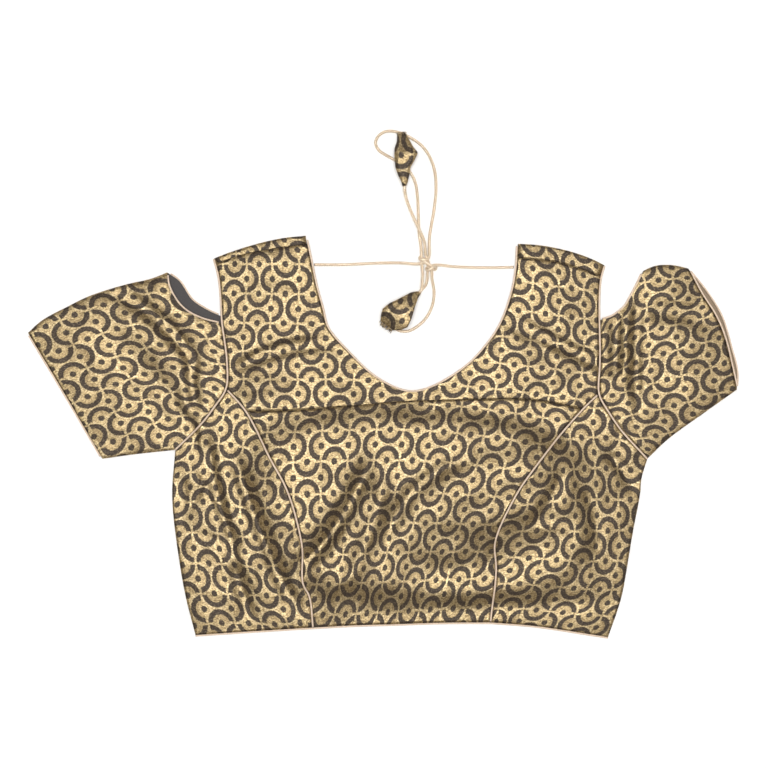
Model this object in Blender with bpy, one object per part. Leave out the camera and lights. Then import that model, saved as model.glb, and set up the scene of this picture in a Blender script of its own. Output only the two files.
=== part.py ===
"""Cold-shoulder brocade crop top (a saree blouse with neck ties), laid flat with its front up.

The floor is Z = 0, +Y runs from the hem to the neck and +X to the right of the top as it lies.
The origin is the middle of the garment on the floor. Tables are in millimetres.
"""

import math
from collections import namedtuple

import bmesh
import bpy
import numpy as np

MM = 0.001

# Cloth and trim
WALL = 1.2  # every cloth wall
SEAM_GAP = 0.3  # between pieces that are sewn together
UPRIGHT = 0.5  # a rim whose normal rises more than this counts as facing up or down
PIPING_RADIUS = 1.25
EDGING_RADIUS = 1.0  # the thinner piping of hem, cuffs and sleeve openings
CORD_RADIUS = 1.6  # the neck ties
BEND_SLACK = 0.18  # what straight mesh edges take from a gap on a bend
PIPED_INSET = PIPING_RADIUS + SEAM_GAP + BEND_SLACK  # from a piped seam's line to the cloth's edge
EDGED_INSET = EDGING_RADIUS + SEAM_GAP + BEND_SLACK
PLAIN_INSET = 0.2

# How the front lies over the back
EDGE_TOP = 2.8  # top of the front where it meets the outline, just over the back
LAY_RISE = 3.4  # what the front gains inside the outline
LAY_REACH = 22.0
FOLD_REACH = 11.0  # how far in from the outline the folds gain their height
LEAST_FOLD = 0.12  # share of it that they have at the outline
FOLD_EDGE_TOP = 1.9  # where a sleeve's cloth turns under
FOLD_SHARE = 0.025  # share of the sleeve's depth that turn takes
EDGING_LIFT = 0.6  # edging over the front layer's cloth, clear of the edging below
EDGING_TRIM = 3.2  # how far an edging stops short of a corner

# Mesh cells along each stretch
Cells = namedtuple("Cells", "strap_columns neck_columns strap_rows seam_rows armhole_rows")
YOKE_CELLS = Cells(strap_columns=9, neck_columns=19, strap_rows=10, seam_rows=2, armhole_rows=4)
BACK_CELLS = Cells(strap_columns=5, neck_columns=14, strap_rows=6, seam_rows=4, armhole_rows=10)
CENTRE_COLUMNS, SIDE_COLUMNS, PANEL_ROWS = 25, 9, 21
SLEEVE_CELL = 12.0
SLEEVE_ROWS = 10
PIPING_CELL = 6.5
CORD_CELL = 7.0
FEWEST_CORD_CELLS = 4

# Lines that the pieces are cut along, as (x, y) points of smooth curves
NECKLINE = [
    (-76.2, 197), (-71.8, 176), (-66.8, 152), (-60.2, 128), (-56.3, 112), (-50.8, 103), (-36.2, 87), (-11.3, 63),
    (14, 48.8), (30, 45.8), (50, 51.2), (82, 70.8), (98.3, 87), (115.6, 111.4), (127.7, 144), (132.2, 168), (133.5, 191),
]
SHOULDER_FOLD_LEFT = [(-170.5, 178.5), (-149.5, 186.5), (-118.5, 195.5), (-98.5, 199.5), (-77.5, 201.5)]
SHOULDER_FOLD_RIGHT = [(133, 193.5), (151.5, 192.5), (171.5, 189.5), (191.5, 184.5), (211.5, 177), (222, 171.5)]
SHOULDER_SEAM_LEFT = [(-168, 173.5), (-137, 183.5), (-77, 193)]
SHOULDER_SEAM_RIGHT = [(131.5, 179.5), (175, 174.5), (219, 160.5)]
ARMHOLE_LEFT = [
    (-170, 178), (-165.4, 161), (-163.2, 140), (-161.6, 115), (-156.5, 75), (-157.5, 48.5), (-168.5, 31),
    (-181, 14.5), (-208.5, -13),
]
ARMHOLE_RIGHT = [
    (221.2, 171), (217.8, 159), (216.2, 140), (216.2, 110), (216.6, 75), (215.5, 43.5), (224.5, 26), (237.5, 7),
    (264, -22),
]
PRINCESS_LEFT = [
    (-157.5, 48.5), (-137.5, 25.5), (-113.5, -20.5), (-96, -53), (-81.5, -106.5), (-80.5, -146),
    (-74, -160), (-70.5, -191.5),
]
PRINCESS_RIGHT = [
    (215.5, 43.5), (199.5, 28), (157, -21.5), (132, -57), (111.5, -104), (112.5, -132), (107, -186),
]
YOKE_SEAM = [(-137.5, 25.5), (-99.5, 26), (-29, 31), (16.5, 35.5), (96.5, 37.5), (150, 37), (199.5, 28)]
HEM_LEFT = [(-188, -199), (-143.5, -196), (-70.5, -191.5)]
HEM_CENTRE = [(-70.5, -191.5), (-28.5, -189.3), (10, -188.2), (61.5, -186.6), (107, -186.4)]
HEM_RIGHT = [(107, -186.4), (151.5, -190), (224.5, -201)]
SIDE_LEFT = [(-208.5, -13), (-211.5, -60), (-206.5, -110), (-198, -160), (-188, -199)]
SIDE_RIGHT = [(264, -22), (258.2, -42), (257, -56), (249.5, -96), (240, -152), (236, -168), (224.5, -201)]

SLEEVE_LEFT_FOLD = [(-356.5, 104), (-341.5, 117), (-317.5, 130), (-293.5, 141.5), (-257.5, 152.8), (-233.5, 158.3), (-216, 165)]
SLEEVE_LEFT_OPENING = [(-216, 165), (-213.5, 150), (-200.5, 130), (-182.5, 119.5), (-161.6, 114)]
SLEEVE_LEFT_OPENING_BACK = [
    (-216, 165), (-204.3, 156.8), (-192.3, 139), (-186.2, 133.8), (-174.2, 126.8), (-162.4, 121.5),
]
SLEEVE_LEFT_CUFF = [(-282, -22), (-319, 41.5), (-356.5, 104)]
SLEEVE_LEFT_UNDERARM = [(-282, -22), (-250, -17.5), (-208.5, -13)]
SLEEVE_RIGHT_FOLD = [(306, 168.5), (290, 172), (273, 171.5), (259.5, 166)]
SLEEVE_RIGHT_OPENING = [
    (259.5, 166), (253, 152.5), (247, 141), (241, 131), (235, 125.8), (228.5, 121.3), (216.2, 117.5),
]
SLEEVE_RIGHT_CUFF = [(354.6, 47.8), (349.5, 71), (342.5, 99), (333.5, 121), (319, 144), (306, 168.5)]
SLEEVE_RIGHT_CUFF_BACK = [(354.6, 47.8), (354.8, 66), (348.8, 90), (339.3, 121), (324.8, 145), (306, 168.5)]
SLEEVE_RIGHT_UNDERARM = [(354.6, 47.8), (320.4, 23.5), (285.9, -1.5), (264, -22)]

# The back's straps, wrapped over the shoulders
BACK_SLEEVE_REACH = PIPED_INSET - SEAM_GAP - 0.7  # out beyond the armhole line, to the sleeve's under layer
SEWN_TO = 100  # the y up to which a sleeve is sewn to the armhole
SEWN_FADE = 20  # and the stretch above in which the back's edge moves in from it
BACK_NECK_INSET = 0.6  # the back's neck edge, behind the front's
WRAP_START = 2.4  # where the wrap leaves the floor, in from the fold
WRAP_EDGE = 0.5  # share of the wrap's height at which it turns

# The bust's raised plateaus: middle, half sizes, turn in degrees, height and how soft the edge is
Cup = namedtuple("Cup", "x y half_width half_height turn height edge")
CUPS = [
    Cup(38, -69, 202, 106, -3, 6.0, 0.18),
    Cup(-64, -42, 60, 62, 20, 2.2, 0.60),
    Cup(112, -50, 82, 42, 14, 5.4, 0.50),
]

CUP_CORNERS = 2.6  # 2 makes an oval, more makes it squarer
CUP_EDGE_AT = 0.86  # share of the half sizes at which it has half its height

# Folds: each is a soft ridge (height above 0) or trough along a bowed line
Fold = namedtuple("Fold", "x0 y0 x1 y1 bow width height")
FOLDS = [
    # left sleeve: the long crease from its top edge, and slack by the underarm
    Fold(-284, 152, -190, 76, 10, 5.5, -7.0),
    Fold(-300, 140, -204, 66, 8, 14, 2.2),
    Fold(-256, 158, -180, 96, 8, 10, 2.0),
    Fold(-256, 74, -204, 30, 4, 14, -2.8),
    Fold(-190, 92, -186, 28, -4, 6, -3.4),
    Fold(-216, 34, -190, -8, 4, 7, -3.4),
    # right sleeve: upright folds beside the armhole and the turned corner of the cuff
    Fold(232, 132, 232, 62, 0, 5, -4.4),
    Fold(256, 142, 254, 32, -3, 5.5, -4.8),
    Fold(244, 140, 243, 60, 0, 7, 2.6),
    Fold(266, 126, 342, 116, 3, 9, -4.2),
    # straps and yoke
    Fold(-150, 68, -38, 94, 8, 6.5, -5.0),
    Fold(-146, 48, -92, 54, 2, 10, 1.8),
    Fold(102, 128, 226, 68, 0, 6.5, -5.0),
    Fold(122, 82, 186, 60, -3, 10, 1.4),
    # left side panel
    Fold(-194, 16, -178, -44, -2, 5, -4.0),
    Fold(-178, 0, -141, -118, -6, 5.5, -4.4),
    Fold(-203, -42, -203, -88, 0, 6, -4.0),
    Fold(-150, -126, -130, -182, -3, 5.5, -3.6),
    Fold(-148, -22, -88, -172, -3, 7, -5.0),
    Fold(-160, -60, -120, -160, -4, 6, 2.2),
    # across the centre panel
    Fold(-14, -24, -86, -136, 7, 9, -6.2),
    Fold(2, -38, -28, -126, 4, 8, 2.8),
    Fold(84, -22, 0, -108, -16, 8, -3.4),
    Fold(56, -62, 166, -30, 2, 14, 1.6),
    Fold(14, -134, 180, -104, -10, 20, -4.8),
    Fold(150, -88, 178, -34, -2, 7, -3.0),
    Fold(-62, -158, -16, -120, -3, 9, 3.0),
    Fold(-30, -182, 232, -166, 3, 9, -1.8),
    # right side panel
    Fold(224, -16, 254, -58, 3, 6, -3.4),
    Fold(196, -40, 212, -120, 6, 8, -2.4),
]

FOLD_OVERRUN, FOLD_FADE = 0.12, 0.34  # shares of its length: how far a fold runs on, and fades in

# The neck ties: (x, y, z) points of each stretch's smooth route, z to the cord's middle
FLOOR_GAP = 0.05
FLOOR_Z = CORD_RADIUS + FLOOR_GAP
ENTRY_Z = 4.3  # where the cords enter the knot
KNOT = (43.5, 173.0, 4.6)
KNOT_HALF = (8.6, 9.8, 4.4)
KNOT_BEVEL = 2.2
KNOT_LEFT, KNOT_RIGHT = KNOT[0] - KNOT_HALF[0] - SEAM_GAP, KNOT[0] + KNOT_HALF[0] + SEAM_GAP
KNOT_UPPER, KNOT_LOWER = KNOT[1] + KNOT_HALF[1] + SEAM_GAP, KNOT[1] - KNOT_HALF[1] - SEAM_GAP
TIE_LEFT = [
    (-69.1, 172.6, FLOOR_Z), (-38.5, 172.6, FLOOR_Z), (-8.5, 174, FLOOR_Z), (12, 174.4, FLOOR_Z), (24, 173.8, 2.6),
    (31, 173.2, ENTRY_Z), (KNOT_LEFT, 173.2, ENTRY_Z),
]
TIE_RIGHT = [
    (130.3, 170, FLOOR_Z), (106.5, 169.6, FLOOR_Z), (81.5, 170, FLOOR_Z), (68, 170.8, FLOOR_Z), (61, 171.6, 3.0),
    (56, 172, ENTRY_Z), (KNOT_RIGHT, 172, ENTRY_Z),
]
UPPER_LOOP = [
    (45.8, KNOT_UPPER, ENTRY_Z), (45.8, 186.5, 3.8), (45.8, 193, 2.2), (46.4, 203, FLOOR_Z), (50.5, 227, FLOOR_Z),
    (52.5, 247, FLOOR_Z), (51.5, 265, FLOOR_Z), (46.5, 280, FLOOR_Z), (38, 292, FLOOR_Z), (26.5, 300, FLOOR_Z),
    (13.5, 305.5, FLOOR_Z), (2.5, 306, FLOOR_Z), (-5, 301.5, FLOOR_Z), (-8, 294.5, FLOOR_Z), (-4.5, 287, FLOOR_Z),
    (3, 282, FLOOR_Z), (11, 277.5, FLOOR_Z), (20, 272, FLOOR_Z), (27.5, 264, FLOOR_Z), (32, 254, FLOOR_Z),
    (34, 241, FLOOR_Z), (35, 222, FLOOR_Z), (35.6, 205, FLOOR_Z), (37, 194, 2.2), (37.8, 187, 3.8),
    (38, KNOT_UPPER, ENTRY_Z),
]
LOWER_LOOP = [
    (48.4, KNOT_LOWER, ENTRY_Z), (48.4, 159.5, 3.8), (49.4, 154, 2.2), (50.6, 146, FLOOR_Z), (49.5, 134, FLOOR_Z),
    (44.5, 122, FLOOR_Z), (35.5, 112, FLOOR_Z), (24.5, 106, FLOOR_Z), (14.5, 107, FLOOR_Z), (9, 113.5, FLOOR_Z),
    (11.5, 121.5, FLOOR_Z), (19.5, 129.5, FLOOR_Z), (28.5, 138, FLOOR_Z), (37, 146, FLOOR_Z), (42.4, 152.5, 2.2),
    (43.8, 159, 3.8), (43.8, KNOT_LOWER, ENTRY_Z),
]

# The cloth tassels: sections from the tip to the frayed foot, moved sideways to the left of that direction
Section = namedtuple("Section", "share half_width moved half_height")
TASSEL_UPPER_SECTIONS = [
    Section(0.00, 2.0, 0.0, 2.0), Section(0.10, 3.6, -0.5, 2.6), Section(0.20, 5.6, 0.0, 3.2),
    Section(0.35, 7.5, 0.4, 4.0), Section(0.46, 9.7, -1.4, 4.4), Section(0.62, 11.9, -3.6, 4.4),
    Section(0.73, 9.4, -1.7, 3.6), Section(0.86, 6.4, -1.5, 2.8), Section(1.00, 4.2, 0.0, 2.0),
]
TASSEL_LOWER_SECTIONS = [
    Section(0.00, 2.0, 0.0, 2.0), Section(0.10, 4.4, -2.2, 2.8), Section(0.27, 7.4, -2.6, 3.8),
    Section(0.42, 10.3, -2.7, 4.6), Section(0.58, 13.4, -3.2, 4.8), Section(0.76, 14.9, -3.2, 4.4),
    Section(0.89, 12.0, -4.0, 3.4), Section(1.00, 7.6, -5.6, 2.4),
]
TASSEL_SIDES = 16
TASSEL_PLEAT = 0.06
OVER_CORD = 2 * CORD_RADIUS + FLOOR_GAP + 0.4  # underside where a cord passes below
# tip, end and sections
TASSEL_UPPER = ((20.9, 251.0), (18.0, 303.0), TASSEL_UPPER_SECTIONS)
TASSEL_LOWER = ((35.9, 144.5), (8.1, 107.8), TASSEL_LOWER_SECTIONS)
# Their cords, up to the last stretch, which runs straight into the tip
UPPER_TAIL = [
    (41.9, KNOT_UPPER, ENTRY_Z), (41.8, 186.5, 5.0), (40.4, 196, 6.0), (35.4, 208, 5.6), (29.5, 221, 3.6),
    (25, 232, 2.8), (22.4, 240, 4.2),
]
LOWER_TAIL = [(39.2, KNOT_LOWER, 5.4), (38.9, 157.4, 5.8), (38.6, 151.6, 5.8)]
TAIL_STRAIGHT = 3.2

COLOURS = {
    "brocade": ((0.62, 0.48, 0.24), 0.42, 0.55),
    "piping": ((0.78, 0.66, 0.45), 0.40, 0.45),
    "cord": ((0.74, 0.62, 0.42), 0.40, 0.45),
}


def clear_scene():
    for obj in list(bpy.data.objects):
        bpy.data.objects.remove(obj)


def material(kind):
    found = bpy.data.materials.get(kind)
    if found:
        return found
    colour, roughness, metallic = COLOURS[kind]
    made = bpy.data.materials.new(kind)
    made.use_nodes = True
    shader = made.node_tree.nodes["Principled BSDF"]
    shader.inputs["Base Color"].default_value = (*colour, 1.0)
    shader.inputs["Roughness"].default_value = roughness
    shader.inputs["Metallic"].default_value = metallic
    return made


def add_object(name, points_mm, faces, kind):
    mesh = bpy.data.meshes.new(name)
    mesh.from_pydata([tuple(p) for p in np.asarray(points_mm) * MM], [], faces)
    mesh.update()
    mesh.shade_smooth()
    mesh.set_sharp_from_angle(angle=math.radians(50))
    obj = bpy.data.objects.new(name, mesh)
    obj.data.materials.append(material(kind))
    bpy.context.scene.collection.objects.link(obj)
    return obj


def along(line):
    """Length up to each point of a line."""
    return np.concatenate([[0.0], np.cumsum(np.linalg.norm(np.diff(line, axis=0), axis=1))])


def resample(line, cells):
    lengths = along(line)
    at = np.linspace(0, lengths[-1], cells + 1)
    return np.stack([np.interp(at, lengths, line[:, k]) for k in range(line.shape[1])], axis=1)


def smooth_curve(points, per_span=14):
    """A smooth curve through the points (centripetal Catmull-Rom)."""
    p = np.array(points, float)
    p = np.vstack([2 * p[0] - p[1], p, 2 * p[-1] - p[-2]])
    made = []
    for a, b, c, d in zip(p[:-3], p[1:-2], p[2:-1], p[3:]):
        knots = [0.0]
        for start, end in ((a, b), (b, c), (c, d)):
            knots.append(knots[-1] + max(np.linalg.norm(end - start), 1e-6) ** 0.5)
        t0, t1, t2, t3 = knots
        for t in np.linspace(t1, t2, per_span, endpoint=False):
            ab = a + (b - a) * (t - t0) / (t1 - t0)
            bc = b + (c - b) * (t - t1) / (t2 - t1)
            cd = c + (d - c) * (t - t2) / (t3 - t2)
            abc = ab + (bc - ab) * (t - t0) / (t2 - t0)
            bcd = bc + (cd - bc) * (t - t1) / (t3 - t1)
            made.append(abc + (bcd - abc) * (t - t1) / (t2 - t1))
    made.append(p[-2])
    return np.array(made)


def joined(*lines):
    return np.vstack([lines[0]] + [line[1:] for line in lines[1:]])


def moved_left(line, distance):
    """The line moved sideways, to the left of its own direction where distance is above 0."""
    tangent = np.gradient(line, axis=0)
    tangent /= np.linalg.norm(tangent, axis=1)[:, None]
    return line + np.reshape(distance, (-1, 1)) * np.stack([-tangent[:, 1], tangent[:, 0]], axis=1)


def extended(line, reach=8.0):
    """The line with a straight stretch added at both ends."""
    start, end = line[0] - line[1], line[-1] - line[-2]
    start, end = start / np.linalg.norm(start), end / np.linalg.norm(end)
    return np.vstack([line[0] + start * reach, line, line[-1] + end * reach])


def crossing(first, second, near):
    """Where two lines cross, each extended a little: the crossing nearest to a point."""
    best = None
    second_line = extended(second)
    first_line = extended(first)
    c, d = second_line[:-1], second_line[1:]
    for a, b in zip(first_line[:-1], first_line[1:]):
        r, q = b - a, d - c
        cross = r[0] * q[:, 1] - r[1] * q[:, 0]
        cross = np.where(np.abs(cross) < 1e-9, 1e-9, cross)
        offset = c - a
        t = (offset[:, 0] * q[:, 1] - offset[:, 1] * q[:, 0]) / cross
        u = (offset[:, 0] * r[1] - offset[:, 1] * r[0]) / cross
        for k in np.flatnonzero((t >= 0) & (t <= 1) & (u >= 0) & (u <= 1)):
            found = a + t[k] * r
            if best is None or np.linalg.norm(found - near) < np.linalg.norm(best - near):
                best = found
    return best


def place_on(line, point):
    """Length along a line of its point nearest to the one given."""
    a, step = line[:-1], np.diff(line, axis=0)
    square = np.maximum((step**2).sum(axis=1), 1e-9)
    t = np.clip(((point - a) * step).sum(axis=1) / square, 0, 1)
    k = np.linalg.norm(a + t[:, None] * step - point, axis=1).argmin()
    return along(line)[k] + t[k] * math.sqrt(square[k])


def between(line, start, end):
    """The stretch of a line from one of its points to another, in that order."""
    line = extended(line)
    lengths = along(line)
    s0, s1 = place_on(line, start), place_on(line, end)
    inner = line[(lengths > min(s0, s1) + 0.01) & (lengths < max(s0, s1) - 0.01)]
    inner = inner if s0 < s1 else inner[::-1]
    return np.vstack([start, inner, end])


def framed(bottom, top, left, right):
    """Four lines cut off at the corners where they cross."""
    bl, br = crossing(bottom, left, left[0]), crossing(bottom, right, right[0])
    tl, tr = crossing(top, left, left[-1]), crossing(top, right, right[-1])
    return between(bottom, bl, br), between(top, tl, tr), between(left, bl, tl), between(right, br, tr)


def nearest_index(line, point):
    return int(np.linalg.norm(line - np.array(point), axis=1).argmin())


def distance_to(line, points):
    """Distance in plan from each of points to a line."""
    a, b = line[:-1], line[1:]
    d = b - a
    best = np.full(len(points), 1e9)
    for start, step in zip(a, d):
        t = np.clip(((points - start) @ step) / max(step @ step, 1e-9), 0, 1)
        best = np.minimum(best, np.linalg.norm(points - start - t[:, None] * step, axis=1))
    return best


def cup_height(cup, x, y):
    turn = math.radians(cup.turn)
    u = ((x - cup.x) * math.cos(turn) + (y - cup.y) * math.sin(turn)) / cup.half_width
    v = (-(x - cup.x) * math.sin(turn) + (y - cup.y) * math.cos(turn)) / cup.half_height
    radius = (np.abs(u) ** CUP_CORNERS + np.abs(v) ** CUP_CORNERS) ** (1 / CUP_CORNERS)
    return cup.height * 0.5 * (1 - np.tanh((radius - CUP_EDGE_AT) / cup.edge * 2.0))


def fold_height(fold, x, y):
    """A ridge whose line is bowed sideways, highest along its middle and fading out at both ends."""
    dx, dy = fold.x1 - fold.x0, fold.y1 - fold.y0
    length = math.hypot(dx, dy)
    u = ((x - fold.x0) * dx + (y - fold.y0) * dy) / length**2
    across = (-(x - fold.x0) * dy + (y - fold.y0) * dx) / length
    across = across - fold.bow * 4 * u * (1 - u) * ((u > -0.5) & (u < 1.5))
    ends = np.clip((u + FOLD_OVERRUN) / FOLD_FADE, 0, 1) * np.clip((1 + FOLD_OVERRUN - u) / FOLD_FADE, 0, 1)
    ends = ends * ends * (3 - 2 * ends)
    return fold.height * ends * np.exp(-((across / fold.width) ** 2))


CURVES = {
    "neck": smooth_curve(NECKLINE),
    "fold_left": smooth_curve(SHOULDER_FOLD_LEFT),
    "fold_right": smooth_curve(SHOULDER_FOLD_RIGHT),
    "seam_left": smooth_curve(SHOULDER_SEAM_LEFT),
    "seam_right": smooth_curve(SHOULDER_SEAM_RIGHT),
    "armhole_left": smooth_curve(ARMHOLE_LEFT),
    "armhole_right": smooth_curve(ARMHOLE_RIGHT),
    "princess_left": smooth_curve(PRINCESS_LEFT),
    "princess_right": smooth_curve(PRINCESS_RIGHT),
    "yoke": smooth_curve(YOKE_SEAM),
    "hem": joined(smooth_curve(HEM_LEFT), smooth_curve(HEM_CENTRE), smooth_curve(HEM_RIGHT)),
    "side_left": smooth_curve(SIDE_LEFT),
    "side_right": smooth_curve(SIDE_RIGHT),
}


def garment_outline():
    """The free outline in plan that the front sinks towards."""
    armhole_left, armhole_right = CURVES["armhole_left"], CURVES["armhole_right"]
    strap_left = armhole_left[: nearest_index(armhole_left, SLEEVE_LEFT_OPENING[-1])]
    strap_right = armhole_right[: nearest_index(armhole_right, SLEEVE_RIGHT_OPENING[-1])]
    lines = [
        CURVES["neck"], CURVES["hem"], CURVES["side_left"], CURVES["side_right"], strap_left, strap_right,
        CURVES["fold_left"], CURVES["fold_right"],
    ]
    for points in (
        SLEEVE_LEFT_FOLD, SLEEVE_LEFT_OPENING, SLEEVE_LEFT_CUFF, SLEEVE_LEFT_UNDERARM,
        SLEEVE_RIGHT_FOLD, SLEEVE_RIGHT_OPENING, SLEEVE_RIGHT_CUFF, SLEEVE_RIGHT_UNDERARM,
    ):
        lines.append(smooth_curve(points))
    return [resample(line, max(4, int(along(line)[-1] / 9))) for line in lines]


OUTLINE = garment_outline()
GAPE = smooth_curve(SLEEVE_LEFT_OPENING)
GAPE_HEIGHT = 1.9  # the left sleeve's opening stands a little open
GAPE_WIDTH = 14.0
GAPE_UP_TO = -160  # the x beyond which the body keeps its own height
FLOOR_BEND = 2.2  # how sharply the troughs bottom out on the back


def front_top(points):
    """Height of the front's outer side over each (x, y) point."""
    points = np.asarray(points, float).reshape(-1, 2)
    x, y = points[:, 0], points[:, 1]
    inside = np.min([distance_to(line, points) for line in OUTLINE], axis=0)
    lay = LAY_RISE * (1 - np.exp(-inside / LAY_REACH))
    share = LEAST_FOLD + (1 - LEAST_FOLD) * (1 - np.exp(-inside / FOLD_REACH))
    relief = sum(cup_height(cup, x, y) for cup in CUPS) + sum(fold_height(f, x, y) for f in FOLDS)
    gape = GAPE_HEIGHT * np.exp(-((distance_to(GAPE, points) / GAPE_WIDTH) ** 2)) * (x < GAPE_UP_TO)
    height = EDGE_TOP + lay + relief * share + gape
    return EDGE_TOP + np.logaddexp(0, (height - EDGE_TOP) * FLOOR_BEND) / FLOOR_BEND


def coons(bottom, top, left, right, shares=None):
    """Grid of points inside four lines that meet at their ends. shares places its rows."""
    shares = np.linspace(0, 1, len(left)) if shares is None else np.array(shares)
    u, v = np.linspace(0, 1, len(bottom))[None, :, None], shares[:, None, None]
    bl, br, tl, tr = bottom[0], bottom[-1], top[0], top[-1]
    flat = (1 - v) * bottom[None] + v * top[None] + (1 - u) * left[:, None] + u * right[:, None]
    return flat - ((1 - u) * (1 - v) * bl + u * (1 - v) * br + (1 - u) * v * tl + u * v * tr)


def with_height(grid, height):
    """The (x, y) grid with a z: a number, or a function of the points."""
    flat = grid.reshape(-1, 2)
    z = np.full(len(flat), float(height)) if np.isscalar(height) else height(flat)
    return np.concatenate([grid, z.reshape(grid.shape[:2])[..., None]], axis=2)


def surface(grids):
    """One mesh from (grid, faces up or not) pairs. Points that grids share become one."""
    points, faces, known = [], [], {}
    for grid, up in grids:
        rows, columns = grid.shape[:2]
        ids = np.zeros((rows, columns), int)
        for i in range(rows):
            for j in range(columns):
                key = tuple(np.round(grid[i, j], 2))
                if key not in known:
                    known[key] = len(points)
                    points.append(grid[i, j])
                ids[i, j] = known[key]
        for i in range(rows - 1):
            for j in range(columns - 1):
                quad = [ids[i, j], ids[i, j + 1], ids[i + 1, j + 1], ids[i + 1, j]]
                face = list(dict.fromkeys(quad if up else quad[::-1]))
                if len(face) > 2:
                    faces.append(face)
    return np.array(points), faces


def thick_cloth(name, grids):
    """A cloth wall whose outer side is the given surface. Rims that face up or down are cut square."""
    points, faces = surface(grids)
    normals = np.zeros_like(points)
    edges = {}
    for face in faces:
        a, b, c = points[face[0]], points[face[1]], points[face[-1]]
        d = points[face[2]]
        normal = np.cross(d - a, c - b) if len(face) == 4 else np.cross(b - a, c - a)
        for k, first in enumerate(face):
            normals[first] += normal
            second = face[(k + 1) % len(face)]
            edges[(first, second)] = True
    normals /= np.linalg.norm(normals, axis=1)[:, None]
    rim = sorted({i for edge in edges if edge[::-1] not in edges for i in edge})
    upright = [i for i in rim if abs(normals[i, 2]) > UPRIGHT]
    normals[upright] = np.stack([0 * normals[upright, 0], 0 * normals[upright, 0], np.sign(normals[upright, 2])], axis=1)
    inner = points - normals * WALL
    count = len(points)
    whole = list(faces) + [[i + count for i in face[::-1]] for face in faces]
    for first, second in edges:
        if (second, first) not in edges:
            whole.append([second, first, first + count, second + count])
    add_object(name, np.vstack([points, inner]), whole, "brocade")


def tube(name, line, radius, kind, sides=6):
    """A round piece along a line of 3-D points, as a curve with filled caps."""
    data = bpy.data.curves.new(name, "CURVE")
    data.dimensions = "3D"
    data.bevel_depth = radius * MM
    data.bevel_resolution = sides // 2 - 2
    data.use_fill_caps = True
    spline = data.splines.new("POLY")
    spline.points.add(len(line) - 1)
    for point, place in zip(spline.points, np.asarray(line) * MM):
        point.co = (*place, 1.0)
    obj = bpy.data.objects.new(name, data)
    obj.data.materials.append(material(kind))
    bpy.context.scene.collection.objects.link(obj)
    return obj


def cells(line, size):
    return max(1, round(along(line)[-1] / size))


def part_of(line, start, end):
    """The stretch of a line between the points nearest to start and end, in that order."""
    i, j = nearest_index(line, start), nearest_index(line, end)
    return line[i : j + 1] if i <= j else line[j : i + 1][::-1]


# Corners that several pieces share
STRAP_BASE_LEFT = (-157, 84)
STRAP_BASE_RIGHT = (217, 84)
NECK_BASE_LEFT = (-46, 98)
NECK_BASE_RIGHT = (107, 100)


def strapped_patches(counts, arm_left, arm_right, neck, top_left, top_right, bottom, side_left, side_right):
    """The grids of a piece with two straps: strap, middle and strap, in plan.

    The armhole and side lines run upwards, and the neckline, tops and bottom from left to right.
    """
    a = arm_left[nearest_index(arm_left, STRAP_BASE_LEFT)]
    a2 = arm_right[nearest_index(arm_right, STRAP_BASE_RIGHT)]
    b = neck[nearest_index(neck, NECK_BASE_LEFT)]
    b2 = neck[nearest_index(neck, NECK_BASE_RIGHT)]
    straps = []
    for first, last, outer, inner, top in (
        (a, b, arm_left, neck, top_left), (b2, a2, neck, arm_right, top_right),
    ):
        top_start, top_end = crossing(top, outer, top[0]), crossing(top, inner, top[-1])
        straps.append(coons(
            resample(np.array([first, last]), counts.strap_columns),
            resample(between(top, top_start, top_end), counts.strap_columns),
            resample(between(outer, first, top_start), counts.strap_rows),
            resample(between(inner, last, top_end), counts.strap_rows),
        ))
    left_strap, right_strap = straps
    top = joined(left_strap[0], resample(between(neck, b, b2), counts.neck_columns), right_strap[0])
    ends, sides = [], []
    for seam, arm, strap_base in ((side_left, arm_left, a), (side_right, arm_right, a2)):
        low, high = crossing(seam, bottom, seam[0]), crossing(seam, arm, seam[-1])
        ends.append(low)
        lower = resample(between(seam, low, high), counts.seam_rows)
        sides.append(joined(lower, resample(between(arm, high, strap_base), counts.armhole_rows)))
    middle = coons(resample(between(bottom, *ends), len(top) - 1), top, *sides)
    return left_strap, middle, right_strap


def front_yoke():
    seam_left = moved_left(CURVES["seam_left"], -PLAIN_INSET)
    seam_right = moved_left(CURVES["seam_right"], -PLAIN_INSET)
    arm_left = moved_left(CURVES["armhole_left"][::-1], -PIPED_INSET)
    arm_right = moved_left(CURVES["armhole_right"][::-1], PIPED_INSET)
    neck = moved_left(CURVES["neck"], -PIPED_INSET)
    side_left = moved_left(part_of(CURVES["princess_left"], YOKE_SEAM[0], PRINCESS_LEFT[0]), -PIPED_INSET)
    side_right = moved_left(part_of(CURVES["princess_right"], YOKE_SEAM[-1], PRINCESS_RIGHT[0]), PIPED_INSET)
    bottom = moved_left(CURVES["yoke"], PLAIN_INSET)
    patches = strapped_patches(
        YOKE_CELLS, arm_left, arm_right, neck, seam_left, seam_right, bottom, side_left, side_right
    )
    thick_cloth("front_yoke", [(with_height(grid, front_top), True) for grid in patches])


def front_centre():
    left = moved_left(part_of(CURVES["princess_left"], HEM_CENTRE[0], YOKE_SEAM[0]), -PIPED_INSET)
    right = moved_left(part_of(CURVES["princess_right"], HEM_CENTRE[-1], YOKE_SEAM[-1]), PIPED_INSET)
    top = moved_left(CURVES["yoke"], -PLAIN_INSET)
    bottom = moved_left(smooth_curve(HEM_CENTRE), EDGED_INSET)
    bottom, top, left, right = framed(bottom, top, left, right)
    grid = coons(
        resample(bottom, CENTRE_COLUMNS), resample(top, CENTRE_COLUMNS),
        resample(left, PANEL_ROWS), resample(right, PANEL_ROWS),
    )
    thick_cloth("front_centre", [(with_height(grid, front_top), True)])


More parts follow.
